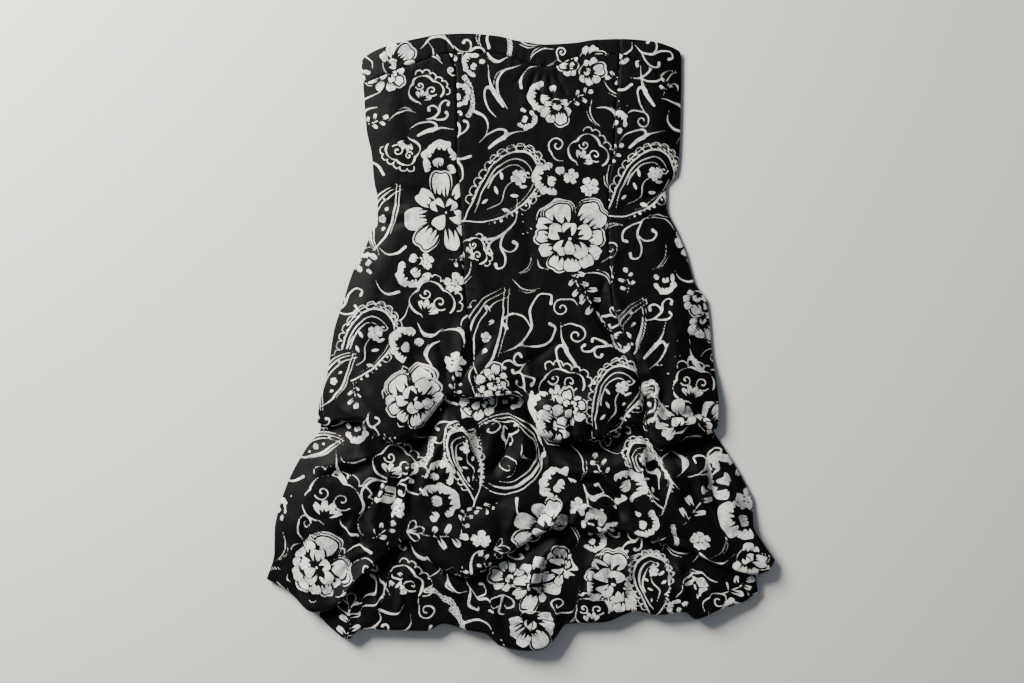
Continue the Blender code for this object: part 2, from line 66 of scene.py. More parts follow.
# Cloth and joints of the solids, which the shells follow
SOLID_CLOTH = 1.6
BACK_CLOTH = 2.0
SEAM_GAP = 0.3
LAP_GAP = 0.7
SIDE_TOP = BACK_CLOTH + SEAM_GAP + SOLID_CLOTH
BACK_INSET = 3.0

# Height of the outer faces, and the width over which they fall to the side seams
BODICE_FALL = 42.0
UNDER_HEIGHT = 10.4
UNDER_FALL = 62.0
HEM_LIFT = 8.2
MIDDLE_HEIGHT = 21.0
MIDDLE_FALL = 58.0
HEM_RISE = 4.0

# Least length of the upper front, and how far up from its lower edge its folds are deeper
UPPER_SPAN = 200.0
DEEPER_TO = 70.0
DEEPER_FADE = 40.0

# Rolled edges: the strip turned back, how far the face stays level past it, and the lengths
# over which it then falls
TURN_BACK = 24.0
LEVEL_PAST_TURN = 8.0
FADE = 70.0
LEAST_FADE = 12.0
TIER_FADE = 80.0

# How far a tier runs up under the one above, and how its level settles on to the back beside it
MARGIN = 34.0
SETTLE_START = 34.0
SETTLE_WIDTH = 20.0

# Share of a crease's height by which it draws the print in from each side
TAKE_UP = 1.5

# Share of its length over which a crease rises at either end
CREASE_ENDS = 0.3

# Share of the creases' height that is left at the side seams, where the cloth is held
CALM = 0.15

# Rows of points round a roll and along the strip turned back behind it
ROLL_ROWS = 12
TURN_ROWS = 9

# The middle tier is the largest piece: its grid is this much wider
WIDE_STEP = 1.24

Point = namedtuple("Point", "x y")
Roll = namedtuple("Roll", "x y radius")
Level = namedtuple("Level", "y height")
Fold = namedtuple("Fold", "x0 y0 x1 y1 width height")
Crease = namedtuple("Crease", "path width height lean", defaults=(0,))
Ripples = namedtuple("Ripples", "seed shortest longest count height")
Sheet = namedtuple("Sheet", "place print_place")


def table(kind, *rows):
    """Named rows of one kind."""
    return [kind(*row) for row in rows]


# Top edge of the bust, left to right
TOP_EDGE = table(
    Point, (-203, 358), (-197, 364), (-173, 375), (-129, 386), (-100, 391), (-70, 392), (-31, 389),
    (0, 382), (32, 378), (69, 380), (95, 384), (128, 385), (168, 382), (187, 377), (203, 370),
    (205, 363),
)

# Lower seam of the band, a soft double curve that dips at the centre
BAND_SEAM = table(
    Point, (-203, 328), (-178, 337), (-153, 347), (-126, 357), (-101, 366), (-70, 368), (-31, 367),
    (-7, 361), (21, 351), (44, 350), (64, 360), (95, 365), (125, 366), (149, 358), (177, 339),
    (205, 315),
)

# Side seams of the upper front, from the top edge to the pick-up line
UPPER_LEFT = table(
    Point, (-203, 358), (-200, 321), (-196, 269), (-190, 241), (-186, 201), (-182, 183), (-182, 150),
    (-190, 140), (-199, 117), (-213, 91), (-227, 48), (-238, 13), (-247, -48), (-256, -80),
    (-258, -103),
)
UPPER_RIGHT = table(
    Point, (205, 363), (205, 342), (204, 279), (203, 248), (200, 216), (186, 197), (186, 173),
    (199, 142), (211, 113), (222, 75), (238, 50), (244, -11), (252, -85), (252, -99), (247, -114),
)

# Princess seams, from the band to the pick-up line
PRINCESS_LEFT = table(
    Point, (-93, 372), (-82, 345), (-80, 276), (-81, 240), (-76, 184), (-74, 138), (-70, 60), (-64, 20),
    (-58, -55), (-57, -74),
)
PRINCESS_RIGHT = table(
    Point, (126, 372), (125, 338), (121, 295), (119, 245), (112, 199), (112, 132), (117, 50),
    (147, -27), (150, -48), (158, -74), (162, -126),
)

# Pick-up line: lower edge of the upper front, with the radius of its roll
PICK_UP_LINE = table(
    Roll, (-258, -103, 3.2), (-246, -107, 4), (-233, -101, 5.5), (-206, -101, 8), (-181, -119, 11),
    (-156, -130, 12), (-128, -112, 10), (-102, -79, 5.5), (-92, -69, 5), (-72, -71, 6), (-41, -71, 7),
    (-11, -69, 6), (4, -74, 7), (17, -106, 9), (29, -121, 10), (69, -127, 11), (96, -126, 10),
    (114, -121, 8), (142, -104, 5), (152, -107, 5), (164, -127, 7), (178, -138, 9), (203, -126, 9),
    (228, -121, 6), (252, -112, 3.2),
)

# Sides of the middle tier; the first rows are hidden under the upper front
MIDDLE_LEFT = table(
    Point, (-246, -62), (-251, -93), (-255, -110), (-274, -137), (-294, -173), (-305, -203),
    (-313, -241), (-313, -267), (-323, -302),
)
MIDDLE_RIGHT = table(
    Point, (239, -70), (244, -105), (246, -113), (258, -133), (269, -150), (288, -184), (296, -203),
    (296, -232), (309, -257), (324, -278),
)

# Lower edge of the middle tier, with the radius of its roll
SWAG_LINE = table(
    Roll, (-323, -302, 3.2), (-299, -315, 4), (-262, -343, 5.5), (-243, -340, 6), (-203, -301, 7),
    (-156, -259, 4.5), (-143, -253, 4.2), (-115, -278, 6.5), (-67, -298, 8), (-15, -268, 7),
    (35, -239, 6), (51, -232, 6), (68, -235, 6.5), (96, -243, 6), (124, -240, 5), (162, -251, 6.5),
    (199, -259, 6), (244, -279, 5), (272, -290, 4.5), (299, -295, 4), (314, -291, 3.5),
    (324, -278, 3.2),
)

# Sides of the hem tier
HEM_LEFT = table(Point, (-246, -280), (-250, -315), (-256, -349))
HEM_RIGHT = table(Point, (286, -258), (298, -293), (302, -319))

# Hem, with its lobes and the radius of its roll
HEM_LINE = table(
    Roll, (-256, -349, 3.2), (-240, -365, 3.4), (-219, -378, 4.2), (-203, -365, 4.2), (-158, -366, 4),
    (-120, -367, 4), (-98, -358, 3.4), (-64, -367, 4), (-46, -370, 4.5), (-25, -386, 5.5),
    (8, -392, 6.5), (28, -391, 6), (44, -376, 5), (59, -358, 4), (105, -356, 4), (149, -342, 3.5),
    (173, -347, 4.5), (208, -343, 4.5), (222, -352, 5), (253, -340, 4.5), (285, -330, 4),
    (302, -319, 3),
)

# Arch of the upper front along its length
UPPER_ARCH = table(
    Level, (392, 11.5), (330, 14.5), (250, 14), (185, 12.5), (100, 15.5), (0, 19), (-140, 22),
)

# Largest folds: a line across the cloth, its half width, and its height or depth
UPPER_FOLDS = table(
    Fold, (92, 62, 150, -22, 9, -4.5), (106, 72, 166, -16, 9, 3.5), (-96, -66, -142, 18, 11, -3.5),
    (-108, -74, -182, -22, 12, 3.5), (-86, -64, -70, 30, 9, 3), (148, -98, 128, -30, 9, 4.5),
    (158, -96, 162, -40, 8, -4), (172, -92, 250, -90, 8, -5), (-238, 20, -216, -84, 12, -3),
    (-12, -60, 90, -66, 10, -4), (20, -86, 112, -90, 14, 3.5), (-180, 196, -96, 176, 12, -2.5),
    (186, 186, 122, 172, 12, -2.5), (200, 150, 232, 20, 12, -3),
)
MIDDLE_FOLDS = table(
    Fold, (-14, -108, -38, -172, 9, -6), (-58, -90, -52, -152, 9, -5), (-100, -84, -84, -170, 11, 5.5),
    (-104, -90, -132, -158, 11, -5), (-170, -150, -144, -246, 11, -5.5),
    (-190, -156, -176, -240, 13, 5), (156, -110, 160, -160, 11, 4), (186, -136, 220, -214, 15, 6),
    (162, -146, 186, -206, 14, -5), (84, -170, 120, -228, 15, -7.5), (66, -202, 108, -214, 10, 5),
    (28, -130, 34, -186, 11, -4), (232, -140, 262, -250, 12, -5), (-262, -150, -290, -250, 13, 4),
    (-214, -214, -232, -300, 13, -5), (-60, -200, 30, -214, 14, 3.5),
)
HEM_FOLDS = table(
    Fold, (50, -226, 10, -322, 11, 9), (74, -260, 66, -340, 12, -5), (-172, -286, -176, -340, 10, -6),
    (-106, -272, -86, -326, 9, 5.5), (-132, -268, -140, -340, 10, 3.5), (-24, -300, 2, -372, 14, 5),
    (226, -286, 232, -334, 10, -5), (194, -270, 214, -340, 10, 4), (110, -262, 128, -330, 13, 5.5),
    (-220, -326, -216, -370, 12, 5), (-60, -306, -56, -356, 9, -4), (150, -262, 158, -336, 9, -4),
)

# The folded tuck that lies over the pick-up line at the left princess seam
TUCK_TOP = table(Point, (-73, -54), (-42, -57), (-11, -55))
TUCK_EDGE = table(Roll, (-73, -68, 2.4), (-42, -70, 2.6), (-11, -66, 2.4))
TUCK_TURN = 11.0

# Seams of the back, all flat
BACK_BAND_SEAM = table(Point, (-205, 340), (205, 340))
BACK_TIER_SEAM = table(Point, (-250, -118), (0, -104), (246, -120))
BACK_HEM_SEAM = table(Point, (-300, -262), (0, -246), (306, -262))
BACK_TOP_DROP = 6.0
BACK_LIFT = 0.12
BACK_LOW_LEFT = table(Point, (-309, -240), (-310, -267), (-319, -299))
BACK_LOW_RIGHT = table(Point, (294, -230), (306, -259), (320, -277))
BACK_HEM = table(
    Point, (-319, -299), (-297, -309), (-262, -334), (-243, -353), (-219, -368), (-203, -357),
    (-158, -358), (-120, -359), (-98, -350), (-64, -359), (-46, -362), (-25, -376), (8, -384),
    (28, -383), (42, -368), (57, -349), (105, -348), (149, -334), (173, -338), (208, -335), (222, -343),
    (253, -331), (283, -321), (297, -300), (304, -289), (314, -285), (320, -277),
)

# Creases of the cloth: the path of each, its half width, its height or depth, and how far
# its steeper flank leans to the right of the path
UPPER_CREASES = table(
    Crease,
    ([(90, 53), (105, 27), (124, -4), (142, -27)], 6, -5.6, 0.3),
    ([(104, 58), (120, 32), (139, 4), (156, -18)], 6, 3.6, -0.2),
    ([(69, 53), (88, 15), (101, -13)], 7, 1.6),
    ([(109, 91), (101, 53), (96, 28)], 5, -1.6, 0.2),
    ([(124, 130), (116, 94), (116, 64)], 6, 1.5),
    ([(21, 348), (16, 333), (8, 311)], 2.6, -1.3),
    ([(29, 345), (26, 328), (25, 302)], 2.4, -1.3),
    ([(36, 345), (39, 325), (45, 300)], 2.4, -1.3),
    ([(43, 348), (50, 330), (62, 310)], 2.6, -1.2),
    ([(13, 351), (2, 338), (-11, 325)], 2.6, -0.9),
    ([(-95, -69), (-107, -56), (-128, -30), (-148, 5)], 5, -2.6, 0.2),
    ([(-101, -76), (-123, -64), (-143, -38), (-161, -13)], 5, 2.2, -0.2),
    ([(-91, -61), (-93, -38), (-102, -5), (-115, 25)], 5, -2.2),
    ([(-87, -64), (-82, -33), (-69, 3)], 4.5, 2),
    ([(-83, -69), (-69, -38), (-46, -5), (-26, 15)], 5, -2.2),
    ([(-107, -86), (-128, -79), (-150, -71), (-168, -71)], 6, 2),
    ([(-102, -79), (-115, -74), (-138, -58), (-156, -46)], 4, -1.8),
    ([(-105, -94), (-112, -109), (-128, -124)], 4, -2.6),
    ([(-12, -46), (-1, -58), (15, -71), (32, -79)], 6, -4.6, 0.25),
    ([(-11, -38), (4, -30), (30, -13), (50, 8)], 5, -2.2),
    ([(-6, -51), (15, -46), (50, -41), (88, -38)], 7, 2.2),
    ([(-8, -43), (20, -61), (58, -71), (96, -71)], 5, -1.8),
    ([(45, -84), (44, -104), (45, -124)], 4, -2),
    ([(58, -79), (55, -104), (58, -127)], 3.6, 2),
    ([(69, -77), (65, -104), (67, -127)], 4, -2.2),
    ([(88, -84), (91, -107), (90, -127)], 4, -1.8),
    ([(106, -79), (111, -102), (106, -124)], 5, 2),
    ([(121, -48), (131, -79), (124, -112), (101, -127)], 5, -2.2, 0.2),
    ([(142, -18), (152, -53), (157, -86), (156, -132)], 4.5, -3.6, 0.3),
    ([(152, -10), (167, -48), (172, -86), (167, -124)], 5.5, 2.8),
    ([(171, -64), (178, -79), (187, -97)], 4.5, -4, 0.2),
    ([(162, -53), (172, -69), (182, -89)], 4, 2),
    ([(173, -100), (192, -94), (218, -93), (248, -99)], 4.5, -3.6, 0.2),
    ([(177, -112), (203, -105), (228, -105), (246, -112)], 6, 3),
    ([(187, -132), (208, -122), (231, -119)], 4, -1.6),
    ([(208, 15), (215, -18), (213, -53)], 6, -1.8),
    ([(228, 41), (236, 3), (241, -38), (243, -74)], 6, 1.8),
    ([(187, 53), (195, 15), (197, -23), (192, -61)], 7, 1.5),
    ([(-184, 185), (-163, 177), (-138, 173)], 4, -1.5),
    ([(-184, 168), (-158, 163), (-128, 165)], 5, 1.2),
    ([(-185, 155), (-166, 150), (-145, 152)], 4, -1.3),
    ([(187, 196), (167, 185), (144, 180)], 4, -1.4),
    ([(187, 175), (164, 168), (139, 165)], 4.5, 1.2),
    ([(190, 160), (172, 155), (152, 155)], 4, -1.2),
    ([(-201, 102), (-181, 79), (-168, 48)], 6, -1.4),
    ([(-217, 53), (-199, 28), (-191, -10)], 7, 1.5),
    ([(-229, -23), (-214, -53), (-189, -86), (-158, -112)], 7, -1.8),
    ([(-242, -61), (-229, -81), (-209, -97)], 5, 1.6),
    ([(-64, 130), (-54, 79), (-51, 28)], 8, 1.1),
    ([(-1, 180), (12, 117), (10, 53)], 9, -1.1),
    ([(-51, 282), (-41, 244), (-44, 193)], 7, -0.9),
    ([(-153, 320), (-143, 269), (-140, 218)], 7, -0.9),
    ([(152, 333), (159, 282), (164, 231)], 7, -0.9),
)
MIDDLE_CREASES = table(
    Crease,
    ([(-87, -79), (-69, -86), (-53, -112), (-48, -140)], 4.5, -4.2, 0.3),
    ([(-92, -84), (-79, -99), (-67, -124), (-64, -157)], 5, 3.6),
    ([(-95, -86), (-95, -114), (-102, -152), (-115, -183)], 5, -2.4),
    ([(-36, -86), (-23, -104), (-13, -119), (-17, -137), (-29, -155), (-40, -173)], 5, -4.6, 0.3),
    ([(-26, -79), (-6, -99), (4, -124), (-3, -152), (-21, -178)], 7, 3.2),
    ([(-102, -124), (-112, -152), (-123, -183), (-130, -213)], 6, 3),
    ([(-139, -140), (-142, -168), (-147, -196), (-149, -226)], 5.5, 3.8, -0.2),
    ([(-148, -152), (-156, -183), (-161, -211), (-168, -236)], 4.5, -4, 0.2),
    ([(-173, -163), (-181, -190), (-194, -213), (-211, -236)], 5, -3.6),
    ([(-163, -152), (-168, -175), (-178, -198), (-189, -216)], 4, 2.4),
    ([(-266, -160), (-231, -154), (-194, -145), (-163, -135)], 6, 3),
    ([(-260, -173), (-227, -168), (-194, -163)], 5, -2.4),
    ([(-201, -216), (-205, -234), (-203, -251), (-196, -267)], 5, -5, 0.2),
    ([(-217, -226), (-217, -246), (-209, -264)], 4.5, 2.6),
    ([(-186, -226), (-184, -244), (-171, -262), (-158, -272)], 5, 3),
    ([(-176, -272), (-199, -292), (-224, -320), (-239, -348)], 5.5, 3),
    ([(-184, -262), (-209, -279), (-232, -302), (-252, -330)], 5, -2.4),
    ([(-280, -201), (-272, -231), (-275, -264), (-285, -295)], 7, -2.2),
    ([(-300, -251), (-290, -277), (-272, -302), (-260, -328)], 5, 1.8),
    ([(-293, -173), (-300, -208), (-303, -239)], 5, 1.6),
    ([(-130, -226), (-102, -239), (-64, -251), (-26, -259)], 6, 2),
    ([(-138, -251), (-123, -272), (-102, -284), (-77, -290)], 5, -2.4),
    ([(-102, -211), (-77, -216), (-39, -208), (-1, -188)], 7, -2),
    ([(-39, -201), (-26, -226), (-26, -251), (-41, -277)], 6, -2),
    ([(-1, -201), (-11, -226), (-21, -246)], 6, 2),
    ([(25, -124), (34, -142), (36, -163)], 2.8, 2.4),
    ([(16, -112), (22, -137), (25, -163)], 3.4, -2.4),
    ([(37, -152), (53, -168), (76, -178), (101, -180)], 4.5, -4, 0.2),
    ([(45, -140), (65, -157), (91, -165), (119, -168)], 5, 3),
    ([(86, -183), (104, -190), (121, -208), (129, -231)], 6.5, -5.6, 0.2),
    ([(96, -173), (116, -180), (137, -201), (144, -226)], 4.5, 2.8),
    ([(70, -211), (91, -208), (109, -216), (121, -231)], 5, 4.2, 0.2),
    ([(65, -226), (88, -229), (106, -239)], 4, -2.6),
    ([(58, -198), (48, -216), (35, -234), (25, -251)], 5.5, 5, 0.2),
    ([(68, -201), (60, -221), (53, -239)], 4, -3.4),
    ([(35, -201), (25, -221), (10, -241)], 4.5, -3),
    ([(159, -124), (167, -140), (176, -157), (185, -173)], 4.5, -5, 0.3),
    ([(171, -132), (182, -155), (195, -180), (210, -206)], 5.5, 4.4, -0.2),
    ([(182, -130), (197, -152), (215, -180), (228, -201)], 5, -3),
    ([(152, -140), (157, -170), (167, -201), (177, -229)], 5, 2.6),
    ([(142, -150), (139, -180), (144, -211), (152, -239)], 4.5, -2.6),
    ([(228, -130), (238, -152), (244, -180), (246, -203), (253, -234), (266, -259)], 5.5, -4.4, 0.2),
    ([(218, -135), (225, -163), (231, -193), (236, -226)], 5, 2.8),
    ([(256, -150), (266, -180), (271, -213), (284, -246)], 7, 3.2),
    ([(284, -211), (294, -239), (300, -267), (309, -284)], 5, -3),
    ([(192, -226), (215, -236), (238, -251), (258, -272)], 6, 2.4),
    ([(182, -244), (208, -251), (231, -267)], 4, -2.4),
    ([(101, -124), (116, -140), (137, -145), (154, -140)], 5, -2.4),
)
HEM_CREASES = table(
    Crease,
    ([(25, -257), (16, -277), (11, -297), (10, -323)], 6, 5.6, 0.2),
    ([(40, -251), (32, -277), (27, -307), (25, -340)], 5, -4.6),
    ([(86, -244), (68, -264), (58, -284), (50, -307)], 6, -4.8, 0.2),
    ([(79, -279), (76, -300), (72, -323), (68, -348)], 5, -4),
    ([(96, -259), (88, -290), (86, -320), (83, -345)], 6, 3.2),
    ([(-163, -272), (-167, -297), (-171, -320), (-175, -343)], 6, -5.4, 0.2),
    ([(-180, -284), (-181, -307), (-181, -330), (-184, -353)], 4.5, 3.6),
    ([(-150, -277), (-150, -302), (-153, -333), (-156, -356)], 5, 2.8),
    ([(-196, -310), (-201, -333), (-206, -356)], 4, -2.8),
    ([(-214, -323), (-217, -348), (-214, -366)], 4, 2.6),
    ([(-138, -295), (-130, -320), (-123, -348)], 4.5, -2.6),
    ([(-109, -277), (-97, -292), (-84, -307), (-77, -333)], 5.5, 3.4),
    ([(-123, -279), (-112, -302), (-102, -328), (-100, -353)], 5, -3),
    ([(-72, -297), (-59, -318), (-51, -343), (-54, -366)], 5, -3.4),
    ([(-59, -292), (-44, -315), (-34, -343), (-26, -371)], 6, 3.4),
    ([(-18, -315), (-21, -338), (-13, -361), (-1, -378)], 5.5, -3.6),
    ([(-3, -323), (-1, -345), (12, -366), (27, -378)], 5, 2.6),
    ([(45, -328), (45, -348), (40, -368)], 5, 3),
    ([(116, -262), (114, -292), (109, -320), (106, -340)], 5, -3),
    ([(137, -259), (137, -287), (131, -315), (129, -335)], 6, 2.8),
    ([(162, -259), (164, -284), (162, -312)], 5, -2.4),
    ([(182, -272), (187, -295), (187, -318), (182, -335)], 5, 2.6),
    ([(211, -274), (219, -297), (224, -318), (231, -343)], 5.5, -5, 0.2),
    ([(197, -277), (205, -302), (208, -328)], 5, 2.8),
    ([(228, -287), (238, -307), (243, -330)], 5, 3.4),
    ([(256, -297), (264, -315), (261, -333)], 4.5, -2.8),
    ([(276, -300), (284, -315), (286, -330)], 4, 2),
)

# Small waves of the cloth on each face: seed, shortest, longest, how many, and height
UPPER_RIPPLES = table(Ripples, (11, 16.0, 75.0, 46, 0.42), (12, 6.0, 15.0, 30, 0.06))
MIDDLE_RIPPLES = table(Ripples, (21, 16.0, 60.0, 40, 0.6), (22, 6.0, 14.0, 30, 0.08))
HEM_RIPPLES = table(Ripples, (31, 14.0, 50.0, 40, 0.55), (32, 6.0, 13.0, 30, 0.08))
BACK_RIPPLES = Ripples(41, 20.0, 80.0, 30, 0.3)


def smooth(rows, column="y", key="x"):
    """A function through a table's rows that never overshoots them (monotone cubic)."""
    rows = sorted(rows, key=lambda row: getattr(row, key))
    at = np.array([getattr(row, key) for row in rows], float)
    value = np.array([getattr(row, column) for row in rows], float)
    step = np.diff(at)
    chord = np.diff(value) / step
    slope = np.empty_like(value)
    slope[0], slope[-1] = chord[0], chord[-1]
    same_way = chord[:-1] * chord[1:] > 0
    total = np.where(same_way, chord[:-1] + chord[1:], 1.0)
    slope[1:-1] = np.where(same_way, 2.0 * chord[:-1] * chord[1:] / total, 0.0)

    def through(where):
        where = np.clip(np.asarray(where, float), at[0], at[-1])
        i = np.clip(np.searchsorted(at, where, side="right") - 1, 0, len(step) - 1)
        t = (where - at[i]) / step[i]
        rise = value[i + 1] - value[i]
        first = step[i] * slope[i]
        last = step[i] * slope[i + 1]
        bend = 3 * rise - 2 * first - last
        return value[i] + t * (first + t * (bend + t * (first + last - 2 * rise)))

    return through


def side(rows):
    """x of a side seam as a function of y."""
    return smooth(rows, column="x", key="y")


def ease(t):
    """0 to 1 with level ends."""
    t = np.clip(t, 0.0, 1.0)
    return t * t * (3.0 - 2.0 * t)


def shifted(line, offset):
    """The same line moved by a fixed amount."""
    return lambda where: line(where) + offset


def higher(first, second, blend):
    """The higher of two heights, rounded over where they meet."""
    return 0.5 * (first + second + np.sqrt((first - second) ** 2 + blend ** 2))


def arch(inside, height, width, edge):
    """Height at a distance inside the side seams: edge on the seam, level past width."""
    return edge + (height - edge) * np.sin(0.5 * math.pi * np.clip(inside / width, 0.0, 1.0))


def soft_arch(inside, height, width, edge):
    """The same, but level on the seam as well, for layers that lie on each other."""
    return edge + (height - edge) * ease(inside / width)


top_edge = smooth(TOP_EDGE)
band_seam = smooth(BAND_SEAM)
pick_up_line = smooth(PICK_UP_LINE)
pick_up_radius = smooth(PICK_UP_LINE, column="radius")
swag_line = smooth(SWAG_LINE)
swag_radius = smooth(SWAG_LINE, column="radius")
hem_line = smooth(HEM_LINE)
hem_radius = smooth(HEM_LINE, column="radius")
upper_left, upper_right = side(UPPER_LEFT), side(UPPER_RIGHT)
middle_left, middle_right = side(MIDDLE_LEFT), side(MIDDLE_RIGHT)
hem_left, hem_right = side(HEM_LEFT), side(HEM_RIGHT)
princess_left, princess_right = side(PRINCESS_LEFT), side(PRINCESS_RIGHT)
upper_arch = smooth(UPPER_ARCH, column="height", key="y")


def inside_of(x, y, left, right):
    """How far a point lies inside two side seams, negative outside."""
    return np.minimum(x - left(y), right(y) - x)


def fold_height(x, y, folds):
    """Sum of soft ridges and troughs, each fading out at its two ends."""
    total = np.zeros(np.broadcast(x, y).shape)
    for fold in folds:
        along_x, along_y = fold.x1 - fold.x0, fold.y1 - fold.y0
        length = math.hypot(along_x, along_y)
        t = ((x - fold.x0) * along_x + (y - fold.y0) * along_y) / length ** 2
        across = ((x - fold.x0) * along_y - (y - fold.y0) * along_x) / length
        ends = np.clip(1.0 - np.abs(2.0 * t - 1.0) ** 3, 0.0, 1.0)
        total = total + fold.height * ends * np.exp(-((across / fold.width) ** 2))
    return total


def curve_through(points, steps=6):
    """Points on a round curve through the given ones (Catmull-Rom)."""
    points = np.asarray(points, float)
    if len(points) < 3:
        share = np.linspace(0.0, 1.0, steps + 1)[:, None]
        return points[0] + (points[-1] - points[0]) * share
    padded = np.concatenate([[2 * points[0] - points[1]], points, [2 * points[-1] - points[-2]]])
    t = (np.arange(steps) / steps)[:, None]
    spans = []
    for a, b, c, d in zip(padded, padded[1:], padded[2:], padded[3:]):
        spans.append(0.5 * (2 * b + (c - a) * t + (2 * a - 5 * b + 4 * c - d) * t ** 2
                            + (3 * b - a - 3 * c + d) * t ** 3))
    return np.concatenate(spans + [points[-1:]])


def to_path(x, y, path):
    """Distance to a path, share of the way along it, side of it (1 is right), and the way from it."""
    step = np.hypot(*np.diff(path, axis=0).T)
    before = np.concatenate([[0.0], np.cumsum(step)])
    best = np.full(x.shape, 1e9)
    share = np.zeros(x.shape)
    right = np.ones(x.shape)
    away_x, away_y = np.zeros(x.shape), np.zeros(x.shape)
    for k in range(len(step)):
        (ax, ay), (bx, by) = path[k], path[k + 1]
        ux, uy = (bx - ax) / max(step[k], 1e-6), (by - ay) / max(step[k], 1e-6)
        t = np.clip((x - ax) * ux + (y - ay) * uy, 0.0, step[k])
        from_x, from_y = x - ax - t * ux, y - ay - t * uy
        far = np.hypot(from_x, from_y)
        closer = far < best
        best = np.where(closer, far, best)
        share = np.where(closer, (before[k] + t) / before[-1], share)
        right = np.where(closer, np.sign((x - ax) * uy - (y - ay) * ux), right)
        away_x = np.where(closer, from_x / np.maximum(far, 1e-6), away_x)
        away_y = np.where(closer, from_y / np.maximum(far, 1e-6), away_y)
    return best, share, right, (away_x, away_y)


def near_creases(x, y, creases, widths):
    """For each crease, the points within some widths of it and where they lie beside it."""
    for crease in creases:
        path = curve_through(crease.path)
        reach = widths * crease.width
        low, high = path.min(axis=0) - reach, path.max(axis=0) + reach
        near = (x > low[0]) & (x < high[0]) & (y > low[1]) & (y < high[1])
        if near.any():
            far, share, right, away = to_path(x[near], y[near], path)
            ends = ease(share / CREASE_ENDS) * ease((1.0 - share) / CREASE_ENDS)
            yield crease, near, far, ends, right, away


def crease_height(x, y, creases):
    """Sum of curved creases, round-topped, steeper on one flank, fading out at both ends."""
    total = np.zeros(x.shape)
    for crease, near, far, ends, right, _ in near_creases(x, y, creases, 3.0):
        width = crease.width * (1.0 - crease.lean * right)
        foot = np.exp(-((far / (2.0 * width)) ** 4))
        total[near] += crease.height * ends / (1.0 + (far / width) ** 2) * foot
    return total


def crease_take_up(x, y, creases):
    """Where each point of the creased cloth lies on the flat print: a crease swallows some of it."""
    to_x, to_y = x.copy(), y.copy()
    for crease, near, far, ends, _, away in near_creases(x, y, creases, 4.0):
        swallowed = TAKE_UP * abs(crease.height) * ends * np.tanh(far / (0.5 * crease.width))
        swallowed = swallowed * np.exp(-((far / (2.2 * crease.width)) ** 2))
        to_x[near] += swallowed * away[0]
        to_y[near] += swallowed * away[1]
    return to_x, to_y


def cockle(x, y, seed, shortest, longest, count):
    """Small irregular ripples about zero: waves of random direction, longer ones higher."""
    random = np.random.default_rng(seed)
    total = np.zeros(x.shape)
    for _ in range(count):
        length = shortest * (longest / shortest) ** random.random()
        turn = random.random() * math.pi
        phase = random.random() * 2.0 * math.pi
        bend = random.normal(0.0, 0.25)
        along = x * math.cos(turn) + y * math.sin(turn)
        across = y * math.cos(turn) - x * math.sin(turn)
        bent = along + bend * length * np.sin(across / (1.7 * length))
        total += (length / longest) * np.sin(2.0 * math.pi * bent / length + phase)
    return total / math.sqrt(0.5 * count)


def fine_relief(x, y, gain, creases, ripples):
    """Creases and small waves of a face."""
    return gain * crease_height(x, y, creases) + sum(
        wave.height * cockle(x, y, *wave[:4]) for wave in ripples)


def calmed(fine, inside, width):
    """Fine relief that is held down along the side seams."""
    return fine * (CALM + (1.0 - CALM) * ease(inside / width))


def seam_pucker(x, y, seams):
    """The groove of a seam, and the small puckers that its thread draws beside it."""
    total = np.zeros(x.shape)
    for seam, upright in seams:
        off = x - seam(y) if upright else y - seam(x)
        along = y if upright else x
        groove = -0.9 * np.exp(-((off / 1.8) ** 2))
        waves = np.sin(along / 1.9 + 1.3 * np.sin(along / 11.0)) * np.sin(along / 23.0 + np.sign(off))
        total += groove + 0.22 * waves * np.exp(-((off / 8.0) ** 2))
    return total


def under_upper(x, y):
    """Outer face of the middle tier where the upper front covers it."""
    return soft_arch(inside_of(x, y, middle_left, middle_right), UNDER_HEIGHT, UNDER_FALL, SIDE_TOP)


def under_hem(x, y):
    """Level that the turned-back hem lies on: the back at the sides, lifted between them."""
    return soft_arch(inside_of(x, y, hem_left, hem_right), HEM_LIFT - LAP_GAP, UNDER_FALL, BACK_CLOTH)


def under_middle(x, y):
    """Outer face of the hem tier where the middle tier covers it, and the back beside it."""
    inside = inside_of(x, y, hem_left, hem_right)
    level = soft_arch(inside, UNDER_HEIGHT, UNDER_FALL, SIDE_TOP)
    rolled = under_hem(x, y) + LAP_GAP + 2.0 * hem_radius(x)
    near = 1.0 - ease((y - hem_line(x) - TURN_BACK - LEVEL_PAST_TURN) / TIER_FADE)
    level = level + np.maximum(rolled - level, 0.0) * near
    return BACK_CLOTH + (level - BACK_CLOTH) * ease((inside + SETTLE_START) / SETTLE_WIDTH)


def near_roll(plain, below, above_line, radius, span):
    """Bring a face up to the top of the roll at its lower edge, clear of the turned strip."""
    top = below + LAP_GAP + 2.0 * radius
    level = TURN_BACK + LEVEL_PAST_TURN
    fade = np.minimum(FADE, np.maximum(span - level, LEAST_FADE))
    return plain + (top - plain) * (1.0 - ease((above_line - level) / fade))


def clear_of_turn(height, below, above_line):
    """Keep a face above the strip turned back beneath it."""
    least = below + 2.0 * (SOLID_CLOTH + LAP_GAP)
    beyond = ease((above_line - TURN_BACK - 6.0) / MARGIN)
    return higher(height, least - 14.0 * beyond, 1.2)


def come_out(height, covered, past_edge, start, width):
    """A tier's face: flat where the piece above covers it, and full at a distance past its edge."""
    height = higher(height, covered, 1.0)
    return covered + (height - covered) * ease((past_edge - start) / width)


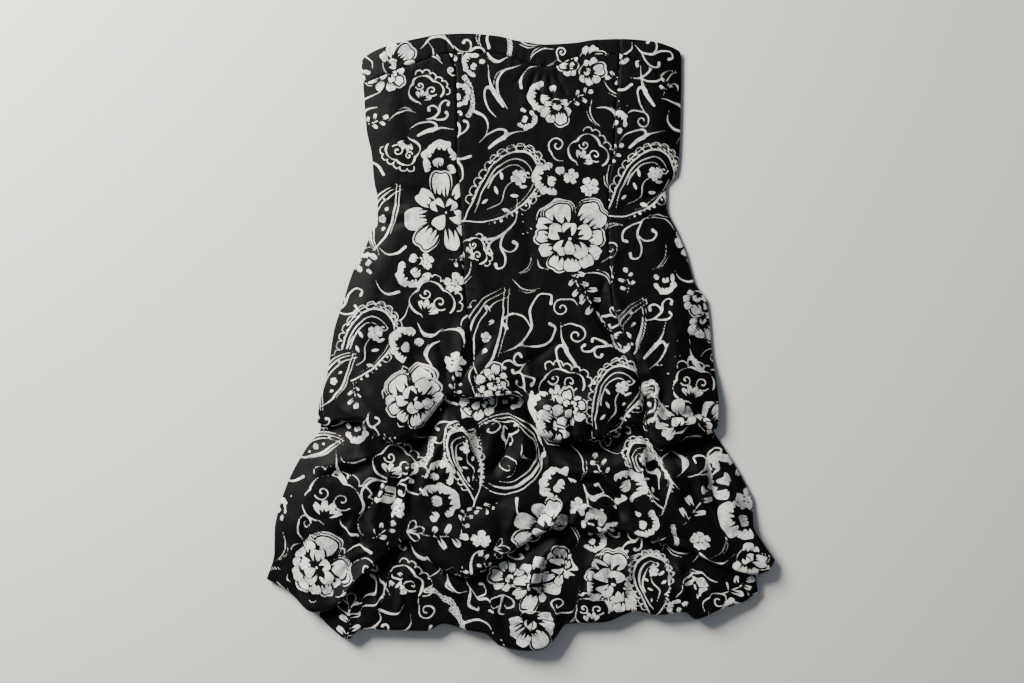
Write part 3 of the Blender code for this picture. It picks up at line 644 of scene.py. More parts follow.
def upper_face(x, y):
    """Outer face of the band, the centre panel and the side panels."""
    inside = inside_of(x, y, upper_left, upper_right)
    soft_edge = ease(inside / BODICE_FALL)
    folds = fold_height(x, y, UPPER_FOLDS)
    plain = arch(inside, upper_arch(y), BODICE_FALL, SIDE_TOP) + folds * soft_edge
    below = under_upper(x, y)
    above_line = y - pick_up_line(x)
    height = near_roll(plain, below, above_line, pick_up_radius(x), UPPER_SPAN)
    deeper = 0.5 * folds * soft_edge
    height = height + deeper * (1.0 - ease((above_line - DEEPER_TO) / DEEPER_FADE))
    fine = fine_relief(x, y, 1.15, UPPER_CREASES, UPPER_RIPPLES)
    fine += seam_pucker(x, y, [(band_seam, False), (princess_left, True), (princess_right, True)])
    height = height + calmed(fine, inside, 22.0)
    return clear_of_turn(height, below, above_line)


def middle_face(x, y):
    """Outer face of the middle tier, flat under the upper front and full below it."""
    inside = inside_of(x, y, middle_left, middle_right)
    soft_edge = ease(inside / MIDDLE_FALL)
    folds = fold_height(x, y, MIDDLE_FOLDS)
    full = arch(inside, MIDDLE_HEIGHT, MIDDLE_FALL, SIDE_TOP) + folds * soft_edge
    span = pick_up_line(x) - swag_line(x)
    below = under_middle(x, y)
    above_line = y - swag_line(x)
    height = near_roll(full, below, above_line, swag_radius(x), 0.75 * span)
    height = height + calmed(fine_relief(x, y, 1.3, MIDDLE_CREASES, MIDDLE_RIPPLES), inside, 26.0)
    height = clear_of_turn(height, below, above_line)
    return come_out(height, under_upper(x, y), pick_up_line(x) - y, 5.0, 38.0)


def hem_face(x, y):
    """Outer face of the hem tier, flat under the middle tier and lobed below it."""
    inside = inside_of(x, y, hem_left, hem_right)
    soft_edge = ease(inside / UNDER_FALL)
    folds = fold_height(x, y, HEM_FOLDS)
    full = arch(inside, UNDER_HEIGHT + HEM_RISE, UNDER_FALL, SIDE_TOP) + folds * soft_edge
    below = under_hem(x, y)
    above_line = y - hem_line(x)
    height = near_roll(full, below, above_line, hem_radius(x), 0.7 * (swag_line(x) - hem_line(x)))
    height = height + 0.4 * folds * soft_edge
    height = height + calmed(fine_relief(x, y, 1.3, HEM_CREASES, HEM_RIPPLES), inside, 24.0)
    height = clear_of_turn(height, below, above_line)
    return come_out(height, under_middle(x, y), swag_line(x) - y, 4.0, 26.0)


def tuck_face(x, y):
    """Upper leaf of the tuck, which lies on the upper front."""
    return upper_face(x, y) + LAP_GAP + 2.0 * smooth(TUCK_EDGE, column="radius")(x)


def panel_lines(edges, ends, across, samples=160):
    """Lines down a panel between its edges top, bottom, left and right, as x and y grids."""
    top, bottom, left, right = edges
    u = np.asarray(across, float)[:, None]
    v = np.linspace(0.0, 1.0, samples)[None, :]
    left_y = ends[0][0] + (ends[0][1] - ends[0][0]) * v
    right_y = ends[1][0] + (ends[1][1] - ends[1][0]) * v
    left_x, right_x = left(left_y), right(right_y)
    top_x = left_x[:, :1] + (right_x[:, :1] - left_x[:, :1]) * u
    bottom_x = left_x[:, -1:] + (right_x[:, -1:] - left_x[:, -1:]) * u
    grids = []
    for on_top, on_bottom, on_left, on_right in (
            (top_x, bottom_x, left_x, right_x), (top(top_x), bottom(bottom_x), left_y, right_y)):
        grid = (1 - v) * on_top + v * on_bottom + (1 - u) * on_left + u * on_right
        grid = grid - (1 - u) * (1 - v) * on_left[:, :1] - u * (1 - v) * on_right[:, :1]
        grids.append(grid - (1 - u) * v * on_left[:, -1:] - u * v * on_right[:, -1:])
    return grids


def edge_height(edge, seam):
    """y where a side seam meets an upper or lower edge."""
    y = edge(seam(0.0))
    for _ in range(30):
        y = edge(seam(y))
    return float(y)


def corner_heights(edges):
    """Where the left and right seams meet the top and bottom edges."""
    top, bottom, left, right = edges
    return [(edge_height(top, seam), edge_height(bottom, seam)) for seam in (left, right)]


def even_count(length, step):
    """An even number of steps of about the given size."""
    return 2 * max(1, round(0.5 * length / step))


def rolled_sheet(edges, ends, step, face, under, radius_at, turn=TURN_BACK, creases=()):
    """Points of a panel whose lower edge rolls under, as columns from the top downwards."""
    left, right = edges[2:]
    width = max(abs(float(right(y) - left(y))) for y in (ends[0][0], ends[0][1]))
    across = np.linspace(0.0, 1.0, even_count(width, step) + 1)
    x, y = panel_lines(edges, ends, across)
    x, y = x[:, ::-1], y[:, ::-1]
    run = np.hypot(np.diff(x), np.diff(y)).cumsum(axis=1)
    run = np.concatenate([np.zeros((len(x), 1)), run], axis=1)
    length = run[:, -1:]

    def walk(distance):
        px = np.array([np.interp(d, r, row) for d, r, row in zip(distance, run, x)])
        py = np.array([np.interp(d, r, row) for d, r, row in zip(distance, run, y)])
        return px, py

    radius = radius_at(x[:, :1])
    face_rows = even_count(float(length.max()), step)
    face_x, face_y = walk(radius + (length - radius) * np.linspace(1.0, 0.0, face_rows + 1))
    face_z = face(face_x, face_y)

    low = under(face_x[:, -1:], face_y[:, -1:]) + LAP_GAP
    half = 0.5 * (face_z[:, -1:] - low)
    angle = math.pi * np.arange(1, ROLL_ROWS) / ROLL_ROWS
    roll_x, roll_y = walk(radius - radius * np.sin(angle))
    roll_z = low + half + half * np.cos(angle)
    turn_x, turn_y = walk(radius + (turn - radius) * np.linspace(0.0, 1.0, TURN_ROWS))
    turn_z = under(turn_x, turn_y) + LAP_GAP

    x = np.concatenate([face_x, roll_x, turn_x], axis=1)
    y = np.concatenate([face_y, roll_y, turn_y], axis=1)
    z = np.concatenate([face_z, roll_z, turn_z], axis=1)
    place = np.stack([x, y, z], axis=2)

    last = face_rows
    gone = np.linalg.norm(np.diff(place[:, last:], axis=1), axis=2).cumsum(axis=1)[:, :, None]
    down = place[:, last, :2] - place[:, last - 3, :2]
    down = down / np.linalg.norm(down, axis=1, keepdims=True)
    print_place = np.stack(crease_take_up(x, y, creases), axis=2)
    print_place[:, last + 1:] = print_place[:, last:last + 1] + gone * down[:, None, :]
    return Sheet(place, print_place)


def flat_sheet(edges, ends, step, face):
    """Points of a panel with plain edges."""
    left, right = edges[2:]
    width = max(abs(float(right(y) - left(y))) for y in (ends[0][0], ends[0][1]))
    length = max(abs(low - high) for high, low in ends)
    across = np.linspace(0.0, 1.0, even_count(width, step) + 1)
    x, y = panel_lines(edges, ends, across, even_count(length, step) + 1)
    return Sheet(np.stack([x, y, face(x, y)], axis=2), np.stack([x, y], axis=2))


def grid_normals(place):
    """Unit normals of a grid of points, on the side of its printed face."""
    across = np.gradient(place, axis=0)
    down = np.gradient(place, axis=1)
    normal = np.cross(down, across)
    return normal / np.maximum(np.linalg.norm(normal, axis=2, keepdims=True), 1e-9)


def shell(name, sheet, thickness, materials):
    """A closed thin shell: the printed face, a reverse of half as many rows, and the edges."""
    place = sheet.place
    columns, rows = place.shape[:2]
    reverse = (place - grid_normals(place) * thickness)[::2, ::2]
    half_columns, half_rows = reverse.shape[:2]
    first = columns * rows
    out = np.arange(first).reshape(columns, rows)
    back = first + np.arange(half_columns * half_rows).reshape(half_columns, half_rows)

    face = np.stack([out[:-1, :-1], out[:-1, 1:], out[1:, 1:], out[1:, :-1]], axis=2).reshape(-1, 4)
    inner = np.stack([back[:-1, :-1], back[1:, :-1], back[1:, 1:], back[:-1, 1:]], axis=2)
    inner = inner.reshape(-1, 4)
    edges = []
    for near, far in ((out[::-1, 0], back[::-1, 0]), (out[:, -1], back[:, -1]),
                      (out[0], back[0]), (out[-1, ::-1], back[-1, ::-1])):
        edges.append(np.stack([near[:-2:2], far[:-1], far[1:], near[2::2], near[1:-1:2]], axis=1))
    rim = np.concatenate(edges)

    mesh = bpy.data.meshes.new(name)
    points = np.concatenate([place.reshape(-1, 3), reverse.reshape(-1, 3)]) * MM
    mesh.from_pydata(points.tolist(), [], face.tolist() + inner.tolist() + rim.tolist())
    mesh.polygons.foreach_set("use_smooth", np.ones(len(mesh.polygons), bool))
    kind = np.zeros(len(mesh.polygons), np.int32)
    kind[len(face):] = 1
    for material in materials:
        mesh.materials.append(material)
    mesh.polygons.foreach_set("material_index", kind)
    mesh.update()
    piece = bpy.data.objects.new(name, mesh)
    bpy.context.collection.objects.link(piece)
    return piece


# Print: each mark is a brush line or a filled area, painted in white or left bare
Mark = namedtuple("Mark", "kind points widths paint", defaults=(1.0,))

# Half widths of the brush and of the bare line kept round a shape, and the pitch of thin rims
FINE, BRUSH, BROAD = 0.68, 0.88, 1.45
HALO = 1.15
RIM_GAP = 2.8

# Reach of the field of distances, sway of the hand, and the bare places that loose strokes
# fill: half of the widest one, and the size of a place that stays bare
REACH = 16.0
WOBBLE = 0.5
WIDEST_BARE = 14.0
REST = WIDEST_BARE - 0.4

# A fifth of a full turn, in radians
FIFTH = 1.2566

Motif = namedtuple("Motif", "kind x y size turn flip", defaults=(REST, 0, 0))


def motifs(*rows):
    """Motifs from their rows; a row of two numbers is a place that stays bare."""
    return [Motif(*row) if len(row) > 2 else Motif("rest", *row) for row in rows]


def line(points, widths, paint=1.0, steps=5):
    """A brush line through points; its half widths are spread evenly along it."""
    path = curve_through(points, steps)
    spread = np.interp(np.linspace(0.0, 1.0, len(path)), np.linspace(0.0, 1.0, len(widths)), widths)
    return Mark("line", path, spread, paint)


def area(points, paint=1.0, grow=0.0):
    """A filled outline, widened by grow."""
    return Mark("area", np.asarray(points, float), grow, paint)


def turned(points, angle, at=(0.0, 0.0)):
    """Points turned about the origin (y axis towards the angle, clockwise) and moved."""
    points = np.asarray(points, float)
    c, s = math.cos(angle), math.sin(angle)
    x, y = points.T
    return np.stack([c * x + s * y, c * y - s * x], 1) + at


def around(radius, angle):
    """The point at a radius in the direction of an angle, clockwise from the y axis."""
    return np.array([radius * math.sin(angle), radius * math.cos(angle)])


def petal_outline(length, width, notch, ripple, phase):
    """Outline of a petal that grows from the origin along y."""
    t = np.linspace(0.0, 2.0 * math.pi, 36, endpoint=False)
    rise = 0.5 - 0.5 * np.cos(t)
    x = 0.5 * width * np.sin(t) * (0.34 + 0.9 * rise ** 0.9)
    y = length * rise - notch * length * np.exp(-(((t - math.pi) / 0.36) ** 2))
    wave = 1.0 + ripple * np.cos(6.0 * t + phase) * rise ** 2
    return np.stack([x * wave, y * wave], 1)


def spread(outline, distance):
    """A closed outline, drawn anticlockwise, moved outwards."""
    along = np.roll(outline, -1, axis=0) - np.roll(outline, 1, axis=0)
    along = along / np.maximum(np.linalg.norm(along, axis=1, keepdims=True), 1e-6)
    return outline + distance * np.stack([along[:, 1], -along[:, 0]], 1)


def flame(at, angle, length, width, random, tongues, base=0.2):
    """Dark tongues that rise side by side from the base of a petal."""
    points = [(-base * width, -0.08 * length)]
    pitch = 0.74 * width / tongues
    for k in range(tongues):
        x = (k + 0.5 - 0.5 * tongues) * pitch * random.uniform(0.85, 1.1)
        rise = random.uniform(0.52, 0.84) * length * (1.0 - 0.8 * abs(x) / width)
        foot = random.uniform(0.16, 0.34) * length
        lean = random.normal(0.0, 0.12) * pitch
        points += [(x - 0.4 * pitch, foot), (x - 0.2 * pitch, 0.62 * rise + 0.1 * foot),
                   (x + lean, rise), (x + 0.16 * pitch, 0.58 * rise + 0.1 * foot)]
    points.append((base * width, -0.08 * length))
    return area(turned(points, angle, at), -1.0)


def petal(at, angle, length, width, random, tongues, halo=HALO, rims=0):
    """A white petal, bare about its edge, with dark tongues from its base and thin rims outside."""
    outline = petal_outline(length, width, random.uniform(0.0, 0.10), random.uniform(0.0, 0.05),
                            random.uniform(0.0, 6.0))
    shape = turned(outline, angle, at)
    marks = [area(shape, -1.0, halo + RIM_GAP * rims)]
    for k in range(rims):
        rim = spread(shape, RIM_GAP * (k + 1))[8:29]
        thin = np.sin(np.linspace(0.15, math.pi - 0.15, len(rim))) * random.uniform(0.75, 1.1)
        marks.append(Mark("line", rim, thin))
    marks.append(area(shape))
    if tongues:
        marks.append(flame(at, angle, length, width, random, tongues))
    return marks


def dot(at, radius, paint=1.0):
    """A round dab."""
    at = np.asarray(at, float)
    return Mark("line", np.array([at, at + (0.05, 0.0)]), np.array([radius, radius]), paint)


def spiral(at, radius, turns, start, widths, way=1.0):
    """A curl that winds inwards."""
    t = np.linspace(0.0, 1.0, int(10 * turns) + 6)
    wound = start + way * 2.0 * math.pi * turns * t
    points = [np.asarray(at) + around(radius * (1.0 - 0.86 * share), angle) for share, angle in zip(t, wound)]
    return Mark("line", np.array(points), np.interp(t, np.linspace(0, 1, len(widths)), widths))


def scallops(path, count, depth, width=FINE, dots=False):
    """A lace edge: small arcs side by side along a path, bulging to its left."""
    path = np.asarray(path, float)
    run = np.concatenate([[0.0], np.cumsum(np.hypot(*np.diff(path, axis=0).T))])
    stations = np.linspace(0.0, run[-1], count + 1)
    points = np.stack([np.interp(stations, run, path[:, 0]), np.interp(stations, run, path[:, 1])], 1)
    marks = []
    for a, b in zip(points, points[1:]):
        out = np.array([a[1] - b[1], b[0] - a[0]]) / max(np.hypot(*(b - a)), 1e-6)
        arc = [a, 0.8 * a + 0.2 * b + out * depth, 0.2 * a + 0.8 * b + out * depth, b]
        marks.append(line(arc, [width], steps=3))
        if dots:
            marks.append(dot(0.5 * (a + b) + out * 0.3 * depth, 0.8))
    return marks


# Petals of the large flowers: base, direction in degrees, length and width, with lengths as
# shares of the size, then the rims outside and the dark tongues inside
Petal = namedtuple("Petal", "x y aim length width rims tongues")
PEONY = table(
    Petal, (0.18, 0.2, 50, 1.0, 0.92, 2, 4), (-0.2, 0.22, -10, 0.86, 0.86, 2, 2),
    (0.42, 0.0, 88, 0.6, 0.5, 1, 3), (0.36, -0.24, 118, 0.62, 0.5, 0, 2),
    (-0.42, 0.36, -78, 0.56, 0.42, 0, 1), (-0.46, 0.04, -92, 0.56, 0.4, 1, 2),
    (-0.4, -0.24, -112, 0.54, 0.42, 0, 2), (-0.22, -0.4, -156, 0.58, 0.54, 1, 3),
    (0.06, -0.46, 178, 0.54, 0.56, 0, 4), (0.28, -0.38, 150, 0.54, 0.46, 0, 2),
    (0.06, 0.04, 66, 0.66, 0.54, 0, 2), (-0.08, 0.04, -70, 0.6, 0.52, 0, 1),
    (-0.08, -0.04, -146, 0.56, 0.5, 0, 1), (0.06, -0.06, 142, 0.58, 0.5, 0, 2),
    (-0.02, -0.06, 186, 0.42, 0.36, 0, 0), (-0.04, 0.0, 4, 0.5, 0.5, 0, 1),
)
HALF_FLOWER = table(
    Petal, (-0.06, 0.0, -98, 0.66, 0.46, 0, 2), (-0.08, 0.06, -56, 0.86, 0.58, 0, 3),
    (0.06, 0.0, 100, 0.6, 0.44, 0, 2), (0.09, 0.06, 62, 0.78, 0.54, 0, 3),
    (-0.03, 0.12, -14, 0.94, 0.66, 1, 4), (0.14, 0.26, 30, 0.66, 0.48, 0, 3),
    (0.08, -0.12, -36, 0.44, 0.36, 0, 2), (-0.08, -0.14, 34, 0.4, 0.34, 0, 1),
)
OPEN_FLOWER = table(
    Petal, (-0.08, 0.2, -8, 0.92, 0.56, 1, 3), (0.14, 0.2, 34, 0.7, 0.44, 0, 2),
    (-0.22, 0.12, -48, 0.7, 0.5, 0, 2), (-0.24, -0.08, -94, 0.86, 0.66, 0, 5),
    (-0.14, -0.24, -142, 0.92, 0.6, 1, 3), (0.06, -0.26, 172, 0.8, 0.46, 0, 2),
    (0.22, -0.14, 130, 0.72, 0.56, 0, 3), (0.24, 0.04, 82, 0.62, 0.5, 1, 2),
    (-0.04, 0.02, -46, 0.46, 0.42, 0, 1), (0.04, -0.04, 112, 0.44, 0.4, 0, 1),
    (-0.03, -0.06, -148, 0.44, 0.42, 0, 0), (0.02, 0.02, 36, 0.42, 0.38, 0, 1),
)


def flower(petals, size, random):
    """Petals painted in order, each over the ones before it."""
    marks = []
    for row in petals:
        angle = math.radians(row.aim) + random.normal(0.0, 0.06)
        grow = size * random.uniform(0.93, 1.07)
        base = np.array([row.x, row.y]) * size
        length, width = row.length * grow, row.width * grow
        marks += petal(base, angle, length, width, random, row.tongues, HALO, row.rims)
    return marks


def peony(size, random):
    """A full flower of uneven petals about a small heart, with loose arcs outside."""
    marks = flower(PEONY, size, random)
    marks += [dot((0.0, -0.02 * size), 0.08 * size, -1.0), dot((0.0, -0.02 * size), 0.05 * size)]
    for k in range(6):
        angle = 2.0 * math.pi * k / 6 + random.normal(0.0, 0.2)
        sweep = random.uniform(0.12, 0.24)
        far = random.uniform(1.12, 1.24) * size
        marks.append(line([around(far * 0.97, angle - sweep), around(far * 1.05, angle),
                           around(far * 0.97, angle + sweep)], [0.4, 0.9, 0.4]))
    return marks


def open_flower(size, random):
    """A wide flower whose long petals are torn deeply by the dark ground."""
    marks = flower(OPEN_FLOWER, size, random)
    marks += [dot((0.0, 0.0), 0.06 * size, -1.0), dot((0.0, 0.0), 0.03 * size)]
    return marks


def cluster(size, random):
    """Half a flower: uneven petals fanned from one base."""
    marks = flower(HALF_FLOWER, size, random)
    marks.append(line([(-0.4 * size, -0.24 * size), (0.0, -0.36 * size), (0.3 * size, -0.26 * size)],
                      [0.4, BRUSH, 0.4]))
    return marks


def floret(size, random):
    """A small five-lobed flower, pierced by dark dabs about its heart."""
    angles = FIFTH * np.arange(5) + random.normal(0.0, 0.12, 5)
    shapes = [turned(petal_outline(1.05 * size, 0.84 * size, 0.08, 0.05, angle), angle)
              for angle in angles]
    marks = [area(shape, -1.0, HALO) for shape in shapes] + [area(shape) for shape in shapes]
    marks += [dot(around(0.34 * size, angle + 0.3), 0.085 * size, -1.0) for angle in angles]
    return marks


def cloud_flower(size, random):
    """A flower in outline: an open lobed line, two curls and a small crown of petals."""
    t = np.linspace(0.0, 2.0 * math.pi, 61)
    lobes = size * (0.8 + 0.2 * np.abs(np.sin(2.0 * t + 0.4)))
    ring = np.stack([lobes * np.cos(t), 0.86 * lobes * np.sin(t)], 1)
    marks = [area(ring[:-1], -1.0, 1.2)]
    thick = 0.95 + 0.45 * np.sin(5.0 * t)
    marks.append(Mark("line", ring[:46], thick[:46]))
    marks.append(spiral((0.3 * size, 0.16 * size), 0.34 * size, 1.2, 2.0, [BRUSH, 0.8, 1.0]))
    marks.append(spiral((-0.4 * size, 0.2 * size), 0.26 * size, 1.1, 4.0, [0.9, 0.8, 1.0], -1.0))
    crown = (-0.05 * size, -0.55 * size)
    for k in range(4):
        marks += petal(crown, -0.9 + 0.6 * k, 0.6 * size, 0.24 * size, random, 1, 0.6)
    marks += scallops(ring[2:24][::-1] * 1.2, 6, 0.16 * size, 0.75)
    return marks


# Outline of a paisley drop, as shares of its size
PAISLEY = np.array([
    (-0.10, -0.58), (0.10, -0.42), (0.25, -0.16), (0.30, 0.12), (0.25, 0.34), (0.08, 0.47),
    (-0.10, 0.45), (-0.22, 0.28), (-0.25, 0.05), (-0.21, -0.18), (-0.15, -0.40),
])


def closed_curve(points, steps=5):
    """A round closed curve through points."""
    points = np.asarray(points, float)
    return curve_through(np.concatenate([points, points[:1]]), steps)


def paisley(size, random, slim=1.0):
    """A drop with a bent tip: uneven outlines, lace about its head, a sprig inside."""
    scale = np.array([size * slim, size])
    drop = closed_curve(PAISLEY * scale)
    middle = np.array([0.02, 0.0]) * scale

    def ring(grow, first=0, last=None):
        """The drop's outline, grown about its middle, or a stretch of it."""
        return (middle + (drop - middle) * grow)[first:last]

    share = np.linspace(0.0, 1.0, len(drop))
    uneven = 0.85 + 0.5 * np.sin(math.pi * share) * np.sin(9.0 * share) ** 2
    thin = 0.35 + 0.5 * np.sin(math.pi * np.linspace(0.0, 1.0, 30))
    marks = [
        area(ring(1.1, 0, -1), -1.0, 3.2), Mark("line", drop, uneven),
        Mark("line", ring(0.8, 22, 52), thin), Mark("line", ring(0.64, 24, 46), thin[:22]),
        *scallops(ring(1.1, 12, 50)[::-1], 17, 0.05 * size, 0.66),
        *scallops(ring(1.04, 14, 30)[::-1], 12, 0.022 * size, 0.62),
        Mark("line", ring(1.0 + 0.15 / slim, 24, 40), thin[:16] * 0.9),
        *(dot(place, 0.8 + 0.6 * (k % 3)) for k, place in enumerate(ring(1.12, 6, 24))),
    ]
    for k in range(13, 48, 2):
        tooth = middle + (drop[k + 1] - middle) * random.uniform(1.05, 1.085)
        marks.append(line([drop[k], tooth], [0.8, 0.6], steps=3))
    marks.append(Mark("line", ring(0.86, 6, 20), thin[:14] * 0.8))
    stem = np.array([(0.02, -0.30), (0.09, -0.14), (0.02, 0.02), (0.05, 0.16)]) * scale
    marks.append(line(stem, [0.5, 0.8, 0.7]))
    for x, y, way in ((0.14, -0.2, 1.1), (0.0, -0.1, -1.0), (0.12, -0.02, 0.9), (-0.06, 0.06, -0.9),
                      (0.13, 0.12, 0.8)):
        marks.append(leaf(np.array([x, y]) * scale, way, 0.1 * size, 0.036 * size))
    marks.append(line(np.array([(-0.06, -0.42), (-0.15, -0.2), (-0.17, 0.04)]) * scale, [0.5, BRUSH, 0.4]))
    eye = np.array([0.06, 0.2]) * scale
    for k in range(5):
        marks += petal(eye, FIFTH * k, 0.092 * size, 0.076 * size, random, 0, 0.4)
    marks.append(spiral(np.array([0.12, 0.3]) * scale, 0.05 * size, 0.9, 1.0, [0.8, 0.8, 1.1]))
    marks.append(leaf(np.array([-0.07, -0.3]) * scale, 0.2, 0.09 * size, 0.03 * size))
    marks.append(line(np.array([(-0.10, -0.58), (-0.17, -0.64), (-0.26, -0.62)]) * scale, [1.0, 0.8, 0.3]))
    return marks


def feather(size, random):
    """A long bent leaf drawn in sweeping lines, with a small sprig along its heart."""
    marks = [area(closed_curve(PAISLEY * (0.75 * size, size))[:-1], -1.0, 1.5)]
    left = np.array([(-0.06, -0.56), (-0.2, -0.3), (-0.25, 0.0), (-0.14, 0.3), (0.08, 0.5)])
    for shift, bend, weight in ((0.0, 0.0, BRUSH), (0.05, 0.02, BROAD), (0.11, 0.05, 0.8)):
        path = (left + (shift, -bend)) * size
        marks.append(line(path, [0.3, weight, weight, 0.9, 0.3]))
    right = np.array([(-0.06, -0.56), (0.1, -0.26), (0.13, 0.1), (0.09, 0.5)])
    marks.append(line(right * size, [0.5, BROAD, 1.2, 0.4]))
    marks.append(line((right[1:] + (0.05, 0.0)) * size, [0.4, 0.9, 0.4]))
    for k, y in enumerate((-0.26, -0.1, 0.06, 0.2)):
        at = np.array([-0.03 + 0.02 * (k % 2), y]) * size
        marks += petal(at, 0.8 - 1.5 * (k % 2), 0.1 * size, 0.05 * size, random, 1, 0.4)
    eye = np.array([-0.02, -0.06]) * size
    for k in range(5):
        marks += petal(eye, FIFTH * k, 0.06 * size, 0.055 * size, random, 0, 0.4)
    marks += scallops((left[1:4] - (0.06, 0.0)) * size, 8, 0.03 * size, 0.66)
    return marks


def leaf(at, angle, length, width):
    """A small pointed leaf."""
    t = np.linspace(0.0, 1.0, 8)
    half = 0.5 * width * np.sin(math.pi * t) ** 0.8
    right, left = np.stack([half, t * length], 1), np.stack([-half, t * length], 1)
    return area(turned(np.concatenate([right, left[-2:0:-1]]), angle, at), 1.0, 0.15)


def comma(size, random):
    """A tapered bent stroke with a round head."""
    path = np.array([(0.0, 0.0), (0.18, 0.35), (0.12, 0.75), (-0.18, 1.0)]) * size
    return [line(path - (0.0, 0.5 * size), [1.25 * BROAD, BROAD, 0.6 * BROAD, 0.3])]


def scroll(size, random):
    """A swept stem that ends in a drop, with two side shoots that bend back into drops."""
    stem = [(-0.34, -0.5), (-0.10, -0.36), (0.05, -0.08), (0.0, 0.2), (0.1, 0.42), (0.27, 0.44),
            (0.29, 0.32)]
    right = [(-0.10, -0.36), (0.14, -0.33), (0.34, -0.22), (0.41, -0.04), (0.32, 0.02)]
    left = [(0.05, -0.08), (-0.08, 0.07), (-0.26, 0.09), (-0.38, -0.03), (-0.31, -0.13)]
    marks = [line(np.array(stem) * size, [0.3, 1.1, BROAD, 1.3, BRUSH, 1.1, 2.0])]
    for shoot in (right, left):
        marks.append(line(np.array(shoot) * size, [0.8, 1.0, 1.2, 1.2, 2.1]))
    return marks


def frond(size, random):
    """A chain of round lobes along a bow, torn on its hollow side, with two petals within it."""
    angles = np.radians((-112.0, -66.0, -16.0, 36.0)) + random.normal(0.0, 0.06, 4)
    sizes = size * random.uniform(0.9, 1.1, 4) * (0.9, 1.1, 1.14, 0.95)
    marks, white, torn = [], [], []
    for angle, each in zip(angles, sizes):
        at = around(0.28 * size, angle) * (0.85, 1.25)
        shape = turned(petal_outline(0.54 * each, 0.74 * each, 0.05, 0.04, 3.0 * angle), angle, at)
        marks.append(area(shape, -1.0, HALO))
        white.append(area(shape))
        torn.append(flame(at, angle, 0.52 * each, 0.72 * each, random, 3, 0.42))
    marks += white + torn
    marks += petal((0.08 * size, -0.3 * size), -0.5, 0.56 * size, 0.5 * size, random, 3)
    marks += petal((0.3 * size, -0.3 * size), 0.8, 0.5 * size, 0.44 * size, random, 3)
    return marks


def hook(size, random):
    """One long swept stroke with a thin echo beside it."""
    path = np.array([(0.22, 0.5), (-0.16, 0.28), (-0.22, -0.12), (0.06, -0.5)]) * size
    return [line(path, [0.5, BROAD, BROAD, 0.4]),
            line(path[:3] * 0.86 + (-0.13 * size, 0.0), [0.4, FINE, 0.4])]


def spur(size, random):
    """A long stroke that swells into a club, with a hook that leaves the swelling."""
    shaft = np.array([(-0.12, 0.58), (-0.09, 0.25), (0.0, -0.02), (0.2, -0.32)]) * size
    thorn = np.array([(0.0, 0.02), (-0.13, 0.09), (-0.2, -0.05), (-0.12, -0.34), (0.06, -0.55)]) * size
    return [line(shaft, [0.3, 1.0, 2.7, 1.5]), line(thorn, [2.4, 1.6, 1.1, 1.0, 0.4])]


def rest(size, random):
    """A place that the loose strokes leave bare."""
    return [dot((0.0, 0.0), size - WIDEST_BARE)]


def hatch(size, random):
    """Two long loose arcs, one beside the other."""
    bow = np.array([(-0.18, 0.56), (0.06, 0.16), (0.06, -0.26), (-0.1, -0.56)]) * size
    return [line(bow, [0.35, FINE + 0.15, FINE, 0.35]),
            line(bow[1:] * 0.92 + (0.13 * size, 0.06 * size), [0.35, FINE, 0.35])]


def curl(size, random):
    """A curl with an open tail."""
    tail = np.array([(-0.12, -0.22), (0.14, -0.4), (0.44, -0.36)]) * size
    return [spiral((0.0, 0.12 * size), 0.36 * size, 1.3, 3.4, [0.9, BRUSH, BRUSH]),
            line(tail, [BRUSH, BRUSH, 0.4])]


def sprig(size, random):
    """A stem with pointed leaves and a bud."""
    marks = [line(np.array([(-0.08, -0.52), (0.03, -0.1), (0.0, 0.3)]) * size, [0.5, 0.9, 0.7])]
    for k, y in enumerate((-0.34, -0.2, -0.04, 0.12)):
        way = 1.0 if k % 2 else -1.0
        marks += petal((0.0, y * size), way, 0.34 * size, 0.14 * size, random, 1, 0.5)
    marks += petal((0.0, 0.22 * size), 0.1, 0.32 * size, 0.2 * size, random, 2, 0.5)
    return marks


def lotus(size, random):
    """A bud with three pointed petals in outline."""
    marks = []
    for angle, long in ((-0.75, 0.8), (0.75, 0.8), (0.0, 1.0)):
        shape = turned(petal_outline(long * size, 0.42 * size, 0.0, 0.0, 0.0), angle, (0.0, -0.4 * size))
        ring = np.concatenate([shape, shape[:1]])
        marks += [area(shape, -1.0, 0.5), Mark("line", ring, np.full(len(ring), FINE + 0.1))]
    marks.append(line([(0.0, -0.3 * size), (0.0, 0.2 * size)], [1.1, 0.4]))
    return marks


def lace(size, random):
    """Rows of small loops."""
    marks = []
    bow = [(-0.5, -0.06), (-0.2, 0.08), (0.2, 0.1), (0.5, -0.04)]
    path = curve_through(np.array(bow) * size)
    marks.append(line(np.array(bow) * size, [0.4, FINE, 0.4]))
    marks += scallops(path, max(4, int(size / 4.5)), 2.6, FINE, True)
    marks += scallops(path[::-1], max(4, int(size / 4.5)), 2.2, FINE)
    return marks


def swirl(size, random):
    """Long parallel sweeps, thick at their foot, that start in a curl, as round a shell."""
    marks = []
    for k in range(3):
        t = np.linspace(0.0, 1.0, 30)
        far = size * (0.55 - 0.05 * k) * (0.84 + 0.22 * np.sin(math.pi * t))
        angle = -2.5 + 0.12 * k + (4.5 - 0.5 * k) * t
        path = np.stack([far * np.sin(angle), far * np.cos(angle)], 1)
        foot = BROAD + 0.5 if k == 1 else BRUSH
        width = np.interp(t, [0.0, 0.35, 0.72, 1.0], [0.6, BRUSH, foot, 0.35])
        marks.append(Mark("line", path, width))
    marks.append(spiral(around(0.33 * size, -2.3), 0.14 * size, 1.1, 2.2, [0.5, BRUSH, BRUSH]))
    marks.append(spiral(around(0.2 * size, 0.7), 0.15 * size, 1.3, 1.2, [0.6, BRUSH, 0.5], -1.0))
    return marks


